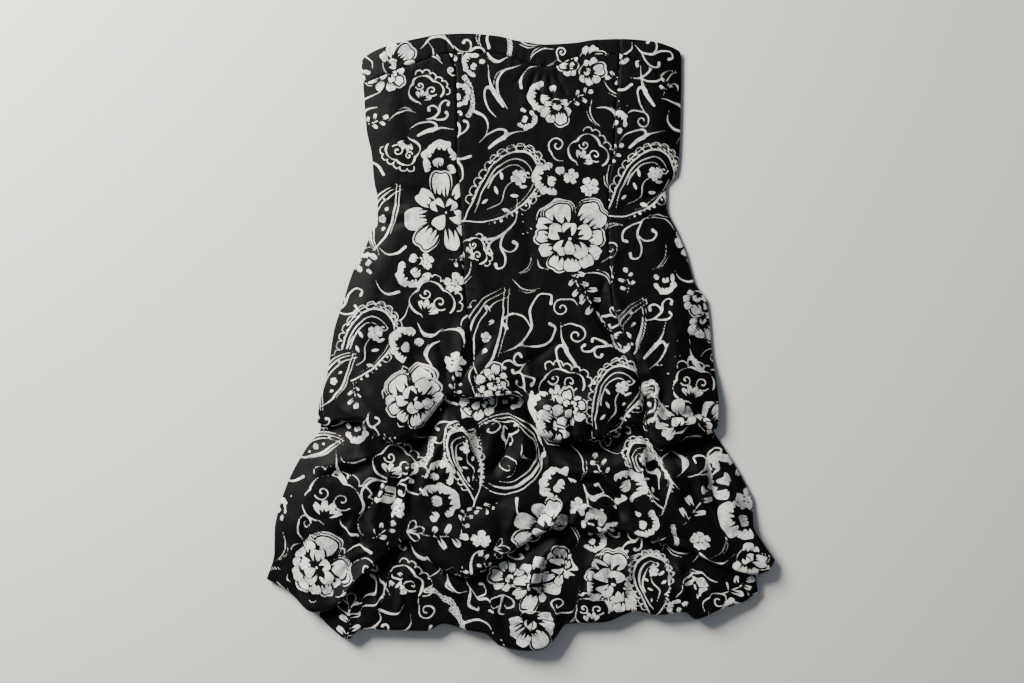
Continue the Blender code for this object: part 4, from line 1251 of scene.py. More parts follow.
def dashes(size, random):
    """Small loose dabs."""
    marks = []
    for _ in range(5):
        at = random.uniform(-0.45, 0.45, 2) * size
        way = random.uniform(-0.6, 0.6)
        dab = turned([(0.0, -1.6), (0.4, 0.0), (0.0, 1.6)], way, at)
        marks.append(line(dab, [0.3, 0.8, 0.3], steps=3))
    return marks


def slim_paisley(size, random):
    """A narrow paisley."""
    return paisley(size, random, 0.75)


MOTIFS = {
    "peony": peony, "cluster": cluster, "floret": floret, "cloud": cloud_flower,
    "paisley": paisley, "slim": slim_paisley, "feather": feather, "comma": comma,
    "scroll": scroll, "hook": hook, "hatch": hatch, "curl": curl, "sprig": sprig,
    "lotus": lotus, "lace": lace, "frond": frond, "open": open_flower, "spur": spur,
    "rest": rest, "swirl": swirl, "dashes": dashes,
}


def mark_depth(place, mark):
    """Depth of points inside a mark, in millimetres, negative outside it."""
    start = mark.points
    end = np.roll(start, -1, axis=0)
    if mark.kind == "line":
        start, end = start[:-1], end[:-1]
    step = end - start
    long = np.maximum((step ** 2).sum(axis=1), 1e-9)
    away = place[:, None, :] - start[None]
    t = np.clip((away * step).sum(axis=2) / long, 0.0, 1.0)
    far = np.linalg.norm(away - t[:, :, None] * step, axis=2)
    if mark.kind == "line":
        width = mark.widths[:-1] + np.diff(mark.widths) * t
        return (width - far).max(axis=1)
    x, y = place[:, None, 0], place[:, None, 1]
    above = (start[None, :, 1] > y) != (end[None, :, 1] > y)
    slant = step[:, 0] / np.where(step[:, 1] == 0.0, 1e-9, step[:, 1])
    cross = start[None, :, 0] + (y - start[None, :, 1]) * slant
    inside = ((above & (x < cross)).sum(axis=1) % 2) == 1
    return np.where(inside, 1.0, -1.0) * far.min(axis=1) + mark.widths


def stamp(depth, place, motif, seed):
    """Paint one motif into the field of depths."""
    marks = MOTIFS[motif.kind](motif.size, np.random.default_rng(seed))
    c, s = math.cos(math.radians(motif.turn)), math.sin(math.radians(motif.turn))
    mirror = -1.0 if motif.flip else 1.0
    near = np.flatnonzero((np.abs(place[:, 0] - motif.x) < motif.size * 1.4 + REACH)
                          & (np.abs(place[:, 1] - motif.y) < motif.size * 1.4 + REACH))
    if not len(near):
        return
    x, y = (place[near] - (motif.x, motif.y)).T
    local = np.stack([(c * x - s * y) * mirror, s * x + c * y], 1)
    value = depth[near]
    for mark in marks:
        low, high = mark.points.min(axis=0) - REACH, mark.points.max(axis=0) + REACH
        inside = np.flatnonzero(((local > low) & (local < high)).all(axis=1))
        if not len(inside):
            continue
        deep = mark_depth(local[inside], mark)
        if mark.paint > 0:
            value[inside] = np.maximum(value[inside], deep)
        else:
            value[inside] = np.minimum(value[inside], -deep)
    depth[near] = value


def fill_gaps(depth, place, least, seed):
    """Put loose strokes into the widest bare places until none is wider than twice least."""
    random = np.random.default_rng(seed)
    kinds = ("comma", "hatch", "curl", "sprig", "dashes", "hook", "scroll", "frond")
    chance = (0.18, 0.14, 0.10, 0.12, 0.12, 0.14, 0.12, 0.08)
    for k in range(200):
        widest = int(np.argmin(depth))
        room = -depth[widest]
        if room < least:
            break
        x, y = place[widest]
        kind = kinds[random.choice(len(kinds), p=chance)]
        size = min(room, REACH) * (1.2 if kind == "frond" else 2.1)
        before = depth[widest]
        loose = Motif(kind, x, y, size, random.uniform(0, 360), random.random() < 0.5)
        stamp(depth, place, loose, seed + k)
        depth[widest] = max(depth[widest], before + 2.0)


def hand_drawn(place):
    """The same places, swayed by fractions of a millimetre, so that no line is ruled."""
    x, y = place[:, 0], place[:, 1]
    sway = [WOBBLE * cockle(x, y, seed, 12.0, 40.0, 10) for seed in (51, 52)]
    return place + np.stack(sway, 1)


# Where each motif lies: kind, place of its middle, size, turn in degrees clockwise, mirrored
PRINT = {
    "band_cloth": motifs(
        (101, 376), (116, 378), ("cluster", -163, 351, 31, 60), ("hook", -107, 378, 42, 80),
        ("scroll", -64, 371, 37, 70), ("lace", -20, 375, 60, 95), ("hatch", 25, 368, 30, 60, 1),
        ("curl", 51, 366, 20, 40), ("cluster", 83, 358, 24, 100), ("scroll", 171, 368, 46, 75),
        ("comma", 133, 371, 26, 60),
    ),
    "left_panel_cloth": motifs(
        (-163, 300), (-184, 76), ("floret", -121, 102, 11), (-163, 277), (-173, 97), (-185, -74),
        (-194, -93), ("open", -168, 340, 24, 40), ("cloud", -120, 318, 23, 20), ("curl", -88, 343, 12),
        ("cloud", -149, 244, 23, 200), ("hook", -196, 284, 70, 5), ("spur", -112, 269, 50, 100),
        ("frond", -102, 227, 30, 20), ("open", -95, 164, 47), ("feather", -173, 161, 84, 12),
        ("frond", -133, 91, 29, 250), ("floret", -84, 75, 13), ("cloud", -112, 50, 30, 30),
        ("comma", -163, 33, 52, 75), ("paisley", -199, -4, 104, 28), ("frond", -143, -6, 29, 330),
        ("floret", -83, -25, 13), ("peony", -133, -71, 34, 330), ("feather", -234, -46, 80, 24),
        (-217, -84), ("hatch", -97, -84, 30, 20), ("scroll", -223, 53, 48, 30), (-234, -94),
    ),
    "centre_panel_cloth": motifs(
        (119, 352), (-3, 138), (123, -30), (8, 314), (110, 330), (-1, 311), (-8, 292), (-55, 85), (-36, 69),
        (-57, 62), (35, 25), (36, 3), (79, -4), (26, 74), (116, -25), (111, 304),
        ("cluster", 83, 343, 22, 100), ("cluster", 67, 351, 18, 280), ("floret", 64, 210, 10),
        ("frond", 32, 310, 27, 300), ("cluster", 45, 300, 24, 175), ("hook", -16, 325, 58, 8),
        ("spur", -34, 318, 60), ("lace", -67, 312, 52, 85), ("comma", 10, 338, 36, 30, 1),
        ("cloud", 86, 239, 27, 40), ("curl", 45, 246, 34, 20), ("spur", -22, 259, 56, 85),
        ("paisley", -22, 196, 112, 40), ("frond", 41, 206, 28, 300), ("floret", 88, 197, 12, 40),
        ("peony", 63, 132, 42), ("comma", -29, 150, 76, 58), ("scroll", -22, 117, 48, 165),
        ("cloud", -59, 114, 20, 60), ("cluster", -92, 112, 18, 200), ("hatch", 8, 100, 36, 35),
        ("sprig", 73, 74, 44, 160), ("sprig", 88, 53, 46, 150), ("comma", 106, 25, 34, 140),
        ("feather", -41, 13, 118, 10), ("scroll", 10, 25, 86, 8), ("spur", 58, -10, 60),
        ("cloud", 53, -56, 29, 10), (93, -25), ("frond", 35, -84, 30, 300), ("cluster", 45, -104, 29, 240),
        ("paisley", 116, -74, 96, 20), ("open", -34, -51, 20, 20), ("cluster", -54, -74, 26, 180),
        ("open", 63, -84, 22), (50, -23), (12, -38),
    ),
    "right_panel_cloth": motifs(
        (181, 302), (170, 67), ("floret", 145, -108, 12), (168, 142), (167, 121), (125, 62), (191, 62),
        (195, 9), (180, 100), (217, 10), (180, 281), ("scroll", 164, 348, 48, 30),
        ("sprig", 187, 330, 34, 10), ("spur", 159, 318, 56), ("curl", 152, 284, 34, 150),
        ("hook", 197, 282, 60, 350, 1), ("spur", 154, 259, 54, 85), ("paisley", 153, 201, 104, 38),
        ("scroll", 152, 132, 55, 170), ("hatch", 180, 107, 34, 30), ("open", 220, 130, 24, 30, 1),
        ("feather", 142, 15, 84, 8), ("scroll", 177, 41, 37, 20), (154, 71), (164, 30),
        ("spur", 171, -4, 60, 10, 1), ("cluster", 224, 57, 22, 200), ("cluster", 231, 28, 26, 160),
        ("spur", 223, -25, 64), ("cloud", 220, -56, 29, 10), ("slim", 162, -79, 56, 10),
        ("cluster", 200, -104, 34, 330), ("cluster", 144, -109, 22, 170), ("cluster", 236, -104, 31, 60),
    ),
    "tuck_cloth": motifs(
        ("cluster", -51, -58, 26, 90), ("cluster", -26, -64, 24, 200),
    ),
    "middle_tier_cloth": motifs(
        (-43, -131), (29, -140), (72, -138), (-21, -142), (180, -151), (30, -163), (-208, -173),
        (101, -184), (-22, -229), (78, -244), (-223, -136), (-16, -248), (69, -160), (197, -177),
        (-46, -226), ("feather", -257, -132, 66, 62), ("open", -51, -74, 23, 10), (-229, -152),
        (-217, -124), (-280, -188), ("spur", -227, -170, 58), ("cloud", -239, -203, 39, 20),
        ("curl", -275, -231, 34, 60), ("peony", -257, -286, 34, 70, 1), ("sprig", -173, -239, 36, 50),
        ("floret", -156, -211, 13), ("cloud", -158, -157, 29, 30), ("hook", -189, -188, 44, 40),
        ("scroll", -95, -114, 37, 200), ("lace", -123, -140, 44, 120), ("slim", -69, -152, 84, 340),
        ("frond", -105, -173, 26, 60), ("frond", -106, -204, 31, 90), ("lotus", -135, -239, 22, 80),
        ("sprig", -95, -246, 56, 85), ("floret", -51, -249, 12), ("lotus", -26, -262, 22, 95),
        ("swirl", -26, -140, 96, 112), (-20, -137), (-32, -163), ("frond", 50, -183, 30, 330),
        ("open", 32, -236, 36, 30), ("cluster", 43, -251, 18, 40), ("comma", 4, -213, 34, 150),
        ("floret", 73, -208, 12), ("hatch", 76, -152, 40, 350), ("hatch", 45, -124, 34, 100),
        ("slim", 162, -165, 86, 330), ("curl", 167, -140, 30), ("frond", 133, -183, 28, 100),
        ("frond", 154, -229, 24, 80, 1), ("scroll", 101, -196, 48, 90), ("sprig", 220, -208, 56, 25),
        ("hook", 192, -163, 50, 340), ("frond", 264, -173, 38, 330), ("frond", 286, -224, 36, 300),
        ("floret", 290, -199, 14), ("scroll", 236, -152, 48, 20), ("floret", 228, -251, 13),
        ("cluster", 284, -274, 29, 120), ("comma", 248, -272, 44, 100), ("lace", 190, -259, 56, 100),
        ("hatch", -303, -262, 36, 20), ("comma", -158, -302, 40, 20), ("sprig", -223, -333, 36),
    ),
    "hem_tier_cloth": motifs(
        (-88, -291), (-206, -300), (-180, -307), (74, -310), (241, -314), (-233, -363), (-23, -363),
        (-159, -283), ("sprig", -217, -356, 52, 10), ("hook", -189, -318, 50, 30, 1),
        ("lotus", -217, -335, 28, 10), ("cloud", -147, -307, 26, 40), ("lace", -97, -330, 56, 40),
        ("lace", -79, -361, 50, 75), ("scroll", -51, -323, 48, 110), ("open", 17, -305, 32, 200),
        ("cluster", -13, -300, 24, 300), ("lotus", -23, -330, 26, 180), ("cluster", 12, -353, 36, 170),
        ("open", 50, -284, 22, 10), ("hatch", 69, -340, 36, 20), ("peony", 119, -307, 36, 20),
        ("paisley", 167, -307, 76, 350), ("cloud", 91, -343, 23), ("hook", 220, -307, 56, 60),
        ("curl", 246, -328, 34, 90), ("sprig", 276, -310, 46, 60), (215, -333), ("lace", 139, -335, 44, 85),
    ),
}


# One repeat of the print for the back, and its spacing; every other column drops by half
REPEAT = motifs(
    ("peony", 0, 0, 36), ("paisley", 78, 20, 104, 35), ("feather", 30, -84, 104, 10),
    ("cluster", -34, -60, 28, 200), ("cloud", 70, -60, 26, 20), ("floret", 46, -30, 11),
    ("scroll", -20, -100, 56, 20), ("cluster", 84, -98, 26, 20), ("hook", -48, 40, 54, 40),
)
REPEAT_ACROSS, REPEAT_DOWN = 168, 176


def back_print():
    """The repeat, laid over the whole back."""
    tiled = []
    for column in range(-2, 3):
        for row in range(-3, 4):
            x = column * REPEAT_ACROSS
            y = (row + 0.5 * (column % 2)) * REPEAT_DOWN
            tiled += [motif._replace(x=motif.x + x, y=motif.y + y) for motif in REPEAT]
    return tiled


def print_depth(name, place):
    """Signed distance in millimetres to the edge of the print, positive in the white.

    The length of the piece's name and a motif's place in its list are its random seed.
    """
    place = hand_drawn(place)
    depth = np.full(place.shape[0], -REACH)
    for k, motif in enumerate(PRINT.get(name) or back_print()):
        stamp(depth, place, motif, 100 * len(name) + k)
    fill_gaps(depth, place, WIDEST_BARE, 7 * len(name))
    return depth


def linear(colour):
    """Linear RGBA of an sRGB hex colour."""
    parts = [int(colour[k:k + 2], 16) / 255.0 for k in (0, 2, 4)]
    return tuple(c / 12.92 if c <= 0.04045 else ((c + 0.055) / 1.055) ** 2.4 for c in parts) + (1.0,)


def add_node(tree, kind, links=(), **settings):
    """Add a node; links maps its inputs to sockets or values, settings its own options."""
    node = tree.nodes.new(kind)
    for key, value in settings.items():
        setattr(node, key, value)
    for key, source in dict(links).items():
        if isinstance(source, bpy.types.NodeSocket):
            tree.links.new(source, node.inputs[key])
        else:
            node.inputs[key].default_value = source
    return node


def new_material(name):
    """An empty node material and its shader."""
    material = bpy.data.materials.new(name)
    material.use_nodes = True
    return material, material.node_tree, material.node_tree.nodes["Principled BSDF"]


def printed_cotton(settings):
    """Black plain-weave cotton, screen-printed in off-white: matt, with a faint nap.

    The ground drinks light; the print is a dry brush of pigment, thin in streaks, with painted shade laid on
    it in broad grey-blue patches.
    """
    material, tree, shader = new_material("screen_printed_cotton")
    where = add_node(tree, "ShaderNodeTexCoord").outputs["Object"]
    depth = add_node(tree, "ShaderNodeAttribute", attribute_name="print").outputs["Fac"]
    ragged = add_node(tree, "ShaderNodeTexNoise", {"Vector": where, "Scale": 900.0, "Detail": 2.0})
    edge = add_node(tree, "ShaderNodeMath", {
        0: ragged.outputs["Fac"], 1: 0.5, 2: depth}, operation="MULTIPLY_ADD")
    ink = add_node(tree, "ShaderNodeMapRange", {
        "Value": edge.outputs[0], "From Min": 0.16, "From Max": 0.52})
    mottle = add_node(tree, "ShaderNodeTexNoise", {
        "Vector": where, "Scale": 150.0, "Detail": 6.0, "Roughness": 0.65, "Distortion": 1.6})
    # Broad soft patches that pull the print towards grey-blue: painted shade, added to the fine streaks of
    # thin pigment above
    painted_shade_patches = add_node(tree, "ShaderNodeTexNoise", {"Vector": where, "Scale": 34.0, "Detail": 1.0})
    brush_and_painted_shade = add_node(tree, "ShaderNodeMath", {
        0: painted_shade_patches.outputs["Fac"], 1: 0.55, 2: mottle.outputs["Fac"]}, operation="MULTIPLY_ADD")
    tone = add_node(tree, "ShaderNodeMapRange", {
        "Value": brush_and_painted_shade.outputs[0], "From Min": 0.62, "From Max": 0.86})
    # The print runs from cream to grey-blue, for thin pigment in streaks and for painted shade in patches
    white = add_node(tree, "ShaderNodeMix", {
        0: tone.outputs["Result"], 6: tuple(settings.thin_print_or_painted_shade), 7: tuple(settings.white),
    }, data_type="RGBA")
    colour = add_node(tree, "ShaderNodeMix", {
        0: ink.outputs["Result"], 6: tuple(settings.black), 7: white.outputs[2],
    }, data_type="RGBA")
    tree.links.new(colour.outputs[2], shader.inputs["Base Color"])
    weft = add_node(tree, "ShaderNodeTexWave", {
        "Vector": where, "Scale": WEAVE_SCALE, "Distortion": 1.0}, bands_direction="X")
    warp = add_node(tree, "ShaderNodeTexWave", {
        "Vector": where, "Scale": WEAVE_SCALE, "Distortion": 1.0}, bands_direction="Y")
    weave = add_node(tree, "ShaderNodeMath", {
        0: weft.outputs["Fac"], 1: warp.outputs["Fac"]}, operation="MULTIPLY")
    bump = add_node(tree, "ShaderNodeBump", {
        "Height": weave.outputs[0], "Strength": 0.25, "Distance": 0.00012})
    tree.links.new(bump.outputs["Normal"], shader.inputs["Normal"])
    shader.inputs["Roughness"].default_value = 0.58
    shader.inputs["Specular IOR Level"].default_value = 0.11
    shader.inputs["Sheen Weight"].default_value = 0.01
    shader.inputs["Sheen Roughness"].default_value = 0.4
    return material


def plain_cotton(settings):
    """The unprinted reverse of the same cotton, dyed black and slightly paler than the face."""
    material, _, shader = new_material("dyed_cotton_reverse")
    shader.inputs["Base Color"].default_value = tuple(settings.reverse)
    shader.inputs["Roughness"].default_value = 0.9
    shader.inputs["Specular IOR Level"].default_value = 0.22
    return material


class DressCloth(bpy.types.PropertyGroup):
    """Sizes and colours of the cloth."""

    thickness: bpy.props.FloatProperty(
        name="Cloth thickness", description="Thickness of the cotton with its finish",
        default=0.0009, min=0.0003, max=0.0015, unit="LENGTH")
    step: bpy.props.FloatProperty(
        name="Grid step", description="Distance between the points of the front's cloth",
        default=0.00135, min=0.001, max=0.004, unit="LENGTH")
    back_step: bpy.props.FloatProperty(
        name="Grid step of the back", description="Distance between the points of the back's cloth",
        default=0.0026, min=0.002, max=0.006, unit="LENGTH")
    black: bpy.props.FloatVectorProperty(
        name="Ground", description="Colour of the black ground", subtype="COLOR", size=4,
        default=linear("060608"), min=0.0, max=1.0)
    white: bpy.props.FloatVectorProperty(
        name="Print", description="Colour of the off-white print", subtype="COLOR", size=4,
        default=linear("FBFAF1"), min=0.0, max=1.0)
    # Grey-blue of the print where its pigment is thin, and also of the painted shade laid on the print in
    # patches
    thin_print_or_painted_shade: bpy.props.FloatVectorProperty(
        name="Thin print", description="Colour of the print where the pigment is thin", subtype="COLOR",
        size=4, default=linear("A3ACB5"), min=0.0, max=1.0)
    reverse: bpy.props.FloatVectorProperty(
        name="Reverse", description="Colour of the unprinted side", subtype="COLOR", size=4,
        default=linear("1B1A19"), min=0.0, max=1.0)


class DressThread(bpy.types.PropertyGroup):
    """Sizes and colour of the stitching."""

    length: bpy.props.FloatProperty(
        name="Stitch length", description="Distance from one needle hole to the next",
        default=0.0026, min=0.0015, max=0.005, unit="LENGTH")
    diameter: bpy.props.FloatProperty(
        name="Thread diameter", description="Diameter of the sewing thread",
        default=0.0004, min=0.0002, max=0.0008, unit="LENGTH")
    from_edge: bpy.props.FloatProperty(
        name="Distance from the seam", description="How far a row of stitches lies from its seam or edge",
        default=0.0018, min=0.001, max=0.006, unit="LENGTH")
    colour: bpy.props.FloatVectorProperty(
        name="Thread", description="Colour of the thread", subtype="COLOR", size=4,
        default=linear("17171A"), min=0.0, max=1.0)


class DressStage(bpy.types.PropertyGroup):
    """Floor, light and camera."""

    floor: bpy.props.FloatVectorProperty(
        name="Floor", description="Colour of the floor", subtype="COLOR", size=4,
        default=linear("F2F2F0"), min=0.0, max=1.0)
    distance: bpy.props.FloatProperty(
        name="Camera height", description="Height of the camera above the floor",
        default=2.2, min=1.0, max=5.0, unit="LENGTH")
    window: bpy.props.FloatProperty(
        name="Window", description="Power of the soft light from the upper left",
        default=152.0, min=0.0, max=1000.0, unit="POWER")
    room: bpy.props.FloatProperty(
        name="Room", description="Strength of the even light of the room",
        default=0.17, min=0.0, max=2.0)


# Pieces: flat width and length and flat area of each cut, in metres, and what it lies on
Cut = namedtuple("Cut", "piece node width length area rests_on")
CUTS = {cut.piece: cut for cut in (
    Cut("band_cloth", "front_band", 0.42, 0.045, 0.0125, ("back_band_cloth",)),
    Cut("left_panel_cloth", "front_left", 0.20, 0.52, 0.075, ("middle_tier_cloth",)),
    Cut("centre_panel_cloth", "front_centre", 0.24, 0.53, 0.105, ("middle_tier_cloth",)),
    Cut("right_panel_cloth", "front_right", 0.15, 0.55, 0.055, ("middle_tier_cloth",)),
    Cut("tuck_cloth", "tuck_flap", 0.063, 0.032, 0.0018, ("centre_panel_cloth",)),
    Cut("middle_tier_cloth", "middle_tier", 0.68, 0.30, 0.17, ("hem_tier_cloth",)),
    Cut("hem_tier_cloth", "hem_tier", 0.60, 0.22, 0.095, ("back_hem_tier_cloth",)),
    Cut("back_band_cloth", "back_band", 0.41, 0.05, 0.017, ("floor",)),
    Cut("back_left_cloth", "back_left", 0.25, 0.47, 0.094, ("floor",)),
    Cut("back_right_cloth", "back_right", 0.25, 0.47, 0.094, ("floor",)),
    Cut("back_middle_tier_cloth", "back_middle_tier", 0.61, 0.16, 0.08, ("floor",)),
    Cut("back_hem_tier_cloth", "back_hem_tier", 0.64, 0.14, 0.07, ("floor",)),
)}


def finish_cloth(name, sheet):
    """Turn a sheet's points into the finished piece that stands for its solid."""
    settings = bpy.context.scene.dress_cloth
    materials = [
        bpy.data.materials.get("screen_printed_cotton") or printed_cotton(settings),
        bpy.data.materials.get("dyed_cotton_reverse") or plain_cotton(settings),
    ]
    piece = shell(name, sheet, settings.thickness / MM, materials)
    depth = np.full(len(piece.data.vertices), -1.0)
    count = sheet.place.shape[0] * sheet.place.shape[1]
    depth[:count] = print_depth(name, sheet.print_place.reshape(-1, 2))
    layer = piece.data.attributes.new("print", "FLOAT", "POINT")
    layer.data.foreach_set("value", depth.astype(np.float32))
    cut = CUTS[name]
    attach(piece, BODY)
    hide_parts(cut.node)
    return piece


class DRESS_OT_band(bpy.types.Operator):
    """Sew the shaped band along the bust"""

    bl_idname = "dress.band"
    bl_label = "Band"

    def execute(self, context):
        edges = (top_edge, shifted(band_seam, 0.5 * SEAM_GAP), upper_left, upper_right)
        step = context.scene.dress_cloth.step / MM
        finish_cloth("band_cloth", flat_sheet(edges, corner_heights(edges), step, upper_face))
        return {"FINISHED"}


class DRESS_OT_upper_front(bpy.types.Operator):
    """Sew the centre panel and the two side panels between the princess seams"""

    bl_idname = "dress.upper_front"
    bl_label = "Upper front"

    def execute(self, context):
        step = context.scene.dress_cloth.step / MM
        half = 0.5 * SEAM_GAP
        upper = shifted(band_seam, -half)
        sides = {
            "left_panel_cloth": (upper_left, shifted(princess_left, -half)),
            "centre_panel_cloth": (shifted(princess_left, half), shifted(princess_right, -half)),
            "right_panel_cloth": (shifted(princess_right, half), upper_right),
        }
        for name, (left, right) in sides.items():
            edges = (upper, pick_up_line, left, right)
            ends = corner_heights(edges)
            sheet = rolled_sheet(edges, ends, step, upper_face, under_upper, pick_up_radius,
                                 creases=UPPER_CREASES)
            finish_cloth(name, sheet)
        return {"FINISHED"}


class DRESS_OT_tuck(bpy.types.Operator):
    """Fold the small tuck over the pick-up line"""

    bl_idname = "dress.tuck"
    bl_label = "Tuck"

    def execute(self, context):
        step = context.scene.dress_cloth.step / MM
        left = shifted(np.zeros_like, float(TUCK_EDGE[0].x))
        right = shifted(np.zeros_like, float(TUCK_EDGE[-1].x))
        ends = [(TUCK_TOP[0].y, TUCK_EDGE[0].y), (TUCK_TOP[-1].y, TUCK_EDGE[-1].y)]
        edges = (smooth(TUCK_TOP), smooth(TUCK_EDGE), left, right)
        radius = smooth(TUCK_EDGE, column="radius")
        sheet = rolled_sheet(edges, ends, step, tuck_face, upper_face, radius, TUCK_TURN)
        finish_cloth("tuck_cloth", sheet)
        return {"FINISHED"}


class DRESS_OT_tiers(bpy.types.Operator):
    """Gather the middle tier and the hem tier of the skirt's front"""

    bl_idname = "dress.tiers"
    bl_label = "Skirt tiers"

    def execute(self, context):
        step = context.scene.dress_cloth.step / MM
        edges = (shifted(pick_up_line, MARGIN), swag_line, middle_left, middle_right)
        sheet = rolled_sheet(edges, corner_heights(edges), WIDE_STEP * step, middle_face, under_middle,
                             swag_radius, creases=MIDDLE_CREASES)
        finish_cloth("middle_tier_cloth", sheet)
        edges = (shifted(swag_line, MARGIN), hem_line, hem_left, hem_right)
        sheet = rolled_sheet(edges, corner_heights(edges), step, hem_face, under_hem, hem_radius,
                             creases=HEM_CREASES)
        finish_cloth("hem_tier_cloth", sheet)
        return {"FINISHED"}


def back_face(x, y):
    """Underside of the back, on the surface but for slight ripples."""
    return BACK_LIFT + BACK_RIPPLES.height * np.maximum(cockle(x, y, *BACK_RIPPLES[:4]), 0.0)


class DRESS_OT_back(bpy.types.Operator):
    """Sew the flat back: band, two panels with a centre seam, two tiers"""

    bl_idname = "dress.back"
    bl_label = "Back"

    def execute(self, context):
        step = context.scene.dress_cloth.back_step / MM
        half = 0.5 * SEAM_GAP
        top = shifted(top_edge, -BACK_TOP_DROP)
        band, tier, hem = smooth(BACK_BAND_SEAM), smooth(BACK_TIER_SEAM), smooth(BACK_HEM_SEAM)
        body = (shifted(upper_left, BACK_INSET), shifted(upper_right, -BACK_INSET))
        skirt = (shifted(middle_left, BACK_INSET), shifted(middle_right, -BACK_INSET))
        centre_left, centre_right = shifted(np.zeros_like, -half), shifted(np.zeros_like, half)
        panels = {
            "back_band_cloth": (top, shifted(band, half), *body),
            "back_left_cloth": (shifted(band, -half), shifted(tier, half), body[0], centre_left),
            "back_right_cloth": (shifted(band, -half), shifted(tier, half), centre_right, body[1]),
            "back_middle_tier_cloth": (shifted(tier, -half), shifted(hem, half), *skirt),
            "back_hem_tier_cloth": (
                shifted(hem, -half), smooth(BACK_HEM), side(BACK_LOW_LEFT), side(BACK_LOW_RIGHT)),
        }
        for name, edges in panels.items():
            sheet = flat_sheet(edges, corner_heights(edges), step, back_face)
            finish_cloth(name, Sheet(sheet.place[::-1], sheet.print_place[::-1]))
        return {"FINISHED"}


def spun_thread(settings):
    """Black spun polyester thread: finer and a little brighter than the cloth, so rows just show."""
    material, tree, shader = new_material("spun_polyester_thread")
    where = add_node(tree, "ShaderNodeTexCoord").outputs["Object"]
    plies = add_node(tree, "ShaderNodeTexNoise", {"Vector": where, "Scale": 1400.0, "Detail": 2.0})
    tone = add_node(tree, "ShaderNodeMix", {
        0: plies.outputs["Fac"], 6: (0.0, 0.0, 0.0, 1.0), 7: tuple(settings.colour)}, data_type="RGBA")
    tree.links.new(tone.outputs[2], shader.inputs["Base Color"])
    shader.inputs["Roughness"].default_value = 0.45
    shader.inputs["Specular IOR Level"].default_value = 0.4
    return material


def stitch_tree():
    """A node tree that lays arched stitches end to end along the rows of its object."""
    tree = bpy.data.node_groups.new("row_of_stitches", "GeometryNodeTree")
    sockets = tree.interface
    sockets.new_socket("Rows", in_out="INPUT", socket_type="NodeSocketGeometry")
    for name in ("Stitch length", "Thread diameter"):
        sockets.new_socket(name, in_out="INPUT", socket_type="NodeSocketFloat")
    sockets.new_socket("Seed", in_out="INPUT", socket_type="NodeSocketInt")
    sockets.new_socket("Thread", in_out="INPUT", socket_type="NodeSocketMaterial")
    sockets.new_socket("Stitches", in_out="OUTPUT", socket_type="NodeSocketGeometry")
    given = add_node(tree, "NodeGroupInput").outputs
    length, diameter = given["Stitch length"], given["Thread diameter"]
    rows = add_node(tree, "GeometryNodeMeshToCurve", {"Mesh": given["Rows"]})
    holes = add_node(tree, "GeometryNodeResampleCurve", {
        "Curve": rows.outputs["Curve"], "Length": length}, mode="LENGTH")
    tangent = add_node(tree, "GeometryNodeInputTangent")
    along = add_node(tree, "FunctionNodeAlignRotationToVector", {
        "Vector": tangent.outputs["Tangent"]}, axis="X", pivot_axis="Z")
    parts = {"back": (length, -0.42), "ahead": (length, 0.42), "dip": (diameter, -0.6),
             "rise": (diameter, 0.9), "radius": (diameter, 0.5)}
    for part, (whole, share) in parts.items():
        times = add_node(tree, "ShaderNodeMath", {0: whole, 1: share}, operation="MULTIPLY")
        parts[part] = times.outputs[0]
    start = add_node(tree, "ShaderNodeCombineXYZ", {"X": parts["back"], "Z": parts["dip"]})
    middle = add_node(tree, "ShaderNodeCombineXYZ", {"Z": parts["rise"]})
    end = add_node(tree, "ShaderNodeCombineXYZ", {"X": parts["ahead"], "Z": parts["dip"]})
    bow = add_node(tree, "GeometryNodeCurveQuadraticBezier", {
        "Resolution": 5, "Start": start.outputs[0], "Middle": middle.outputs[0], "End": end.outputs[0]})
    ring = add_node(tree, "GeometryNodeCurvePrimitiveCircle", {"Resolution": 6, "Radius": parts["radius"]})
    stitch = add_node(tree, "GeometryNodeCurveToMesh", {
        "Curve": bow.outputs["Curve"], "Profile Curve": ring.outputs["Curve"], "Fill Caps": True})
    uneven = add_node(tree, "FunctionNodeRandomValue", {
        0: (0.88, 0.9, 0.8), 1: (1.06, 1.1, 1.15), "Seed": given["Seed"]}, data_type="FLOAT_VECTOR")
    laid = add_node(tree, "GeometryNodeInstanceOnPoints", {
        "Points": holes.outputs["Curve"], "Instance": stitch.outputs["Mesh"],
        "Rotation": along.outputs["Rotation"], "Scale": uneven.outputs["Value"]})
    real = add_node(tree, "GeometryNodeRealizeInstances", {"Geometry": laid.outputs["Instances"]})
    dyed = add_node(tree, "GeometryNodeSetMaterial", {
        "Geometry": real.outputs["Geometry"], "Material": given["Thread"]})
    add_node(tree, "NodeGroupOutput", {"Stitches": dyed.outputs["Geometry"]})
    return tree


def grown(tree, rows, name, values):
    """The mesh that a node tree makes of rows of points, as a plain object."""
    start = bpy.data.meshes.new("rows")
    points = np.concatenate(rows) * MM
    edges, first = [], 0
    for row in rows:
        edges += [(first + k, first + k + 1) for k in range(len(row) - 1)]
        first += len(row)
    start.from_pydata(points.tolist(), edges, [])
    piece = bpy.data.objects.new(name, start)
    bpy.context.collection.objects.link(piece)
    modifier = piece.modifiers.new("stitches", "NODES")
    modifier.node_group = tree
    for item in tree.interface.items_tree:
        if item.name in values:
            modifier[item.identifier] = values[item.name]
    evaluated = piece.evaluated_get(bpy.context.evaluated_depsgraph_get())
    mesh = bpy.data.meshes.new_from_object(evaluated)
    piece.modifiers.clear()
    piece.data = mesh
    bpy.data.meshes.remove(start)
    mesh.polygons.foreach_set("use_smooth", np.ones(len(mesh.polygons), bool))
    return piece


# Stretch of the band that is edge-stitched, left to right, and how far its top edge turns down
STITCHED = (-198.0, 201.0)
TOP_TURN = 2.0


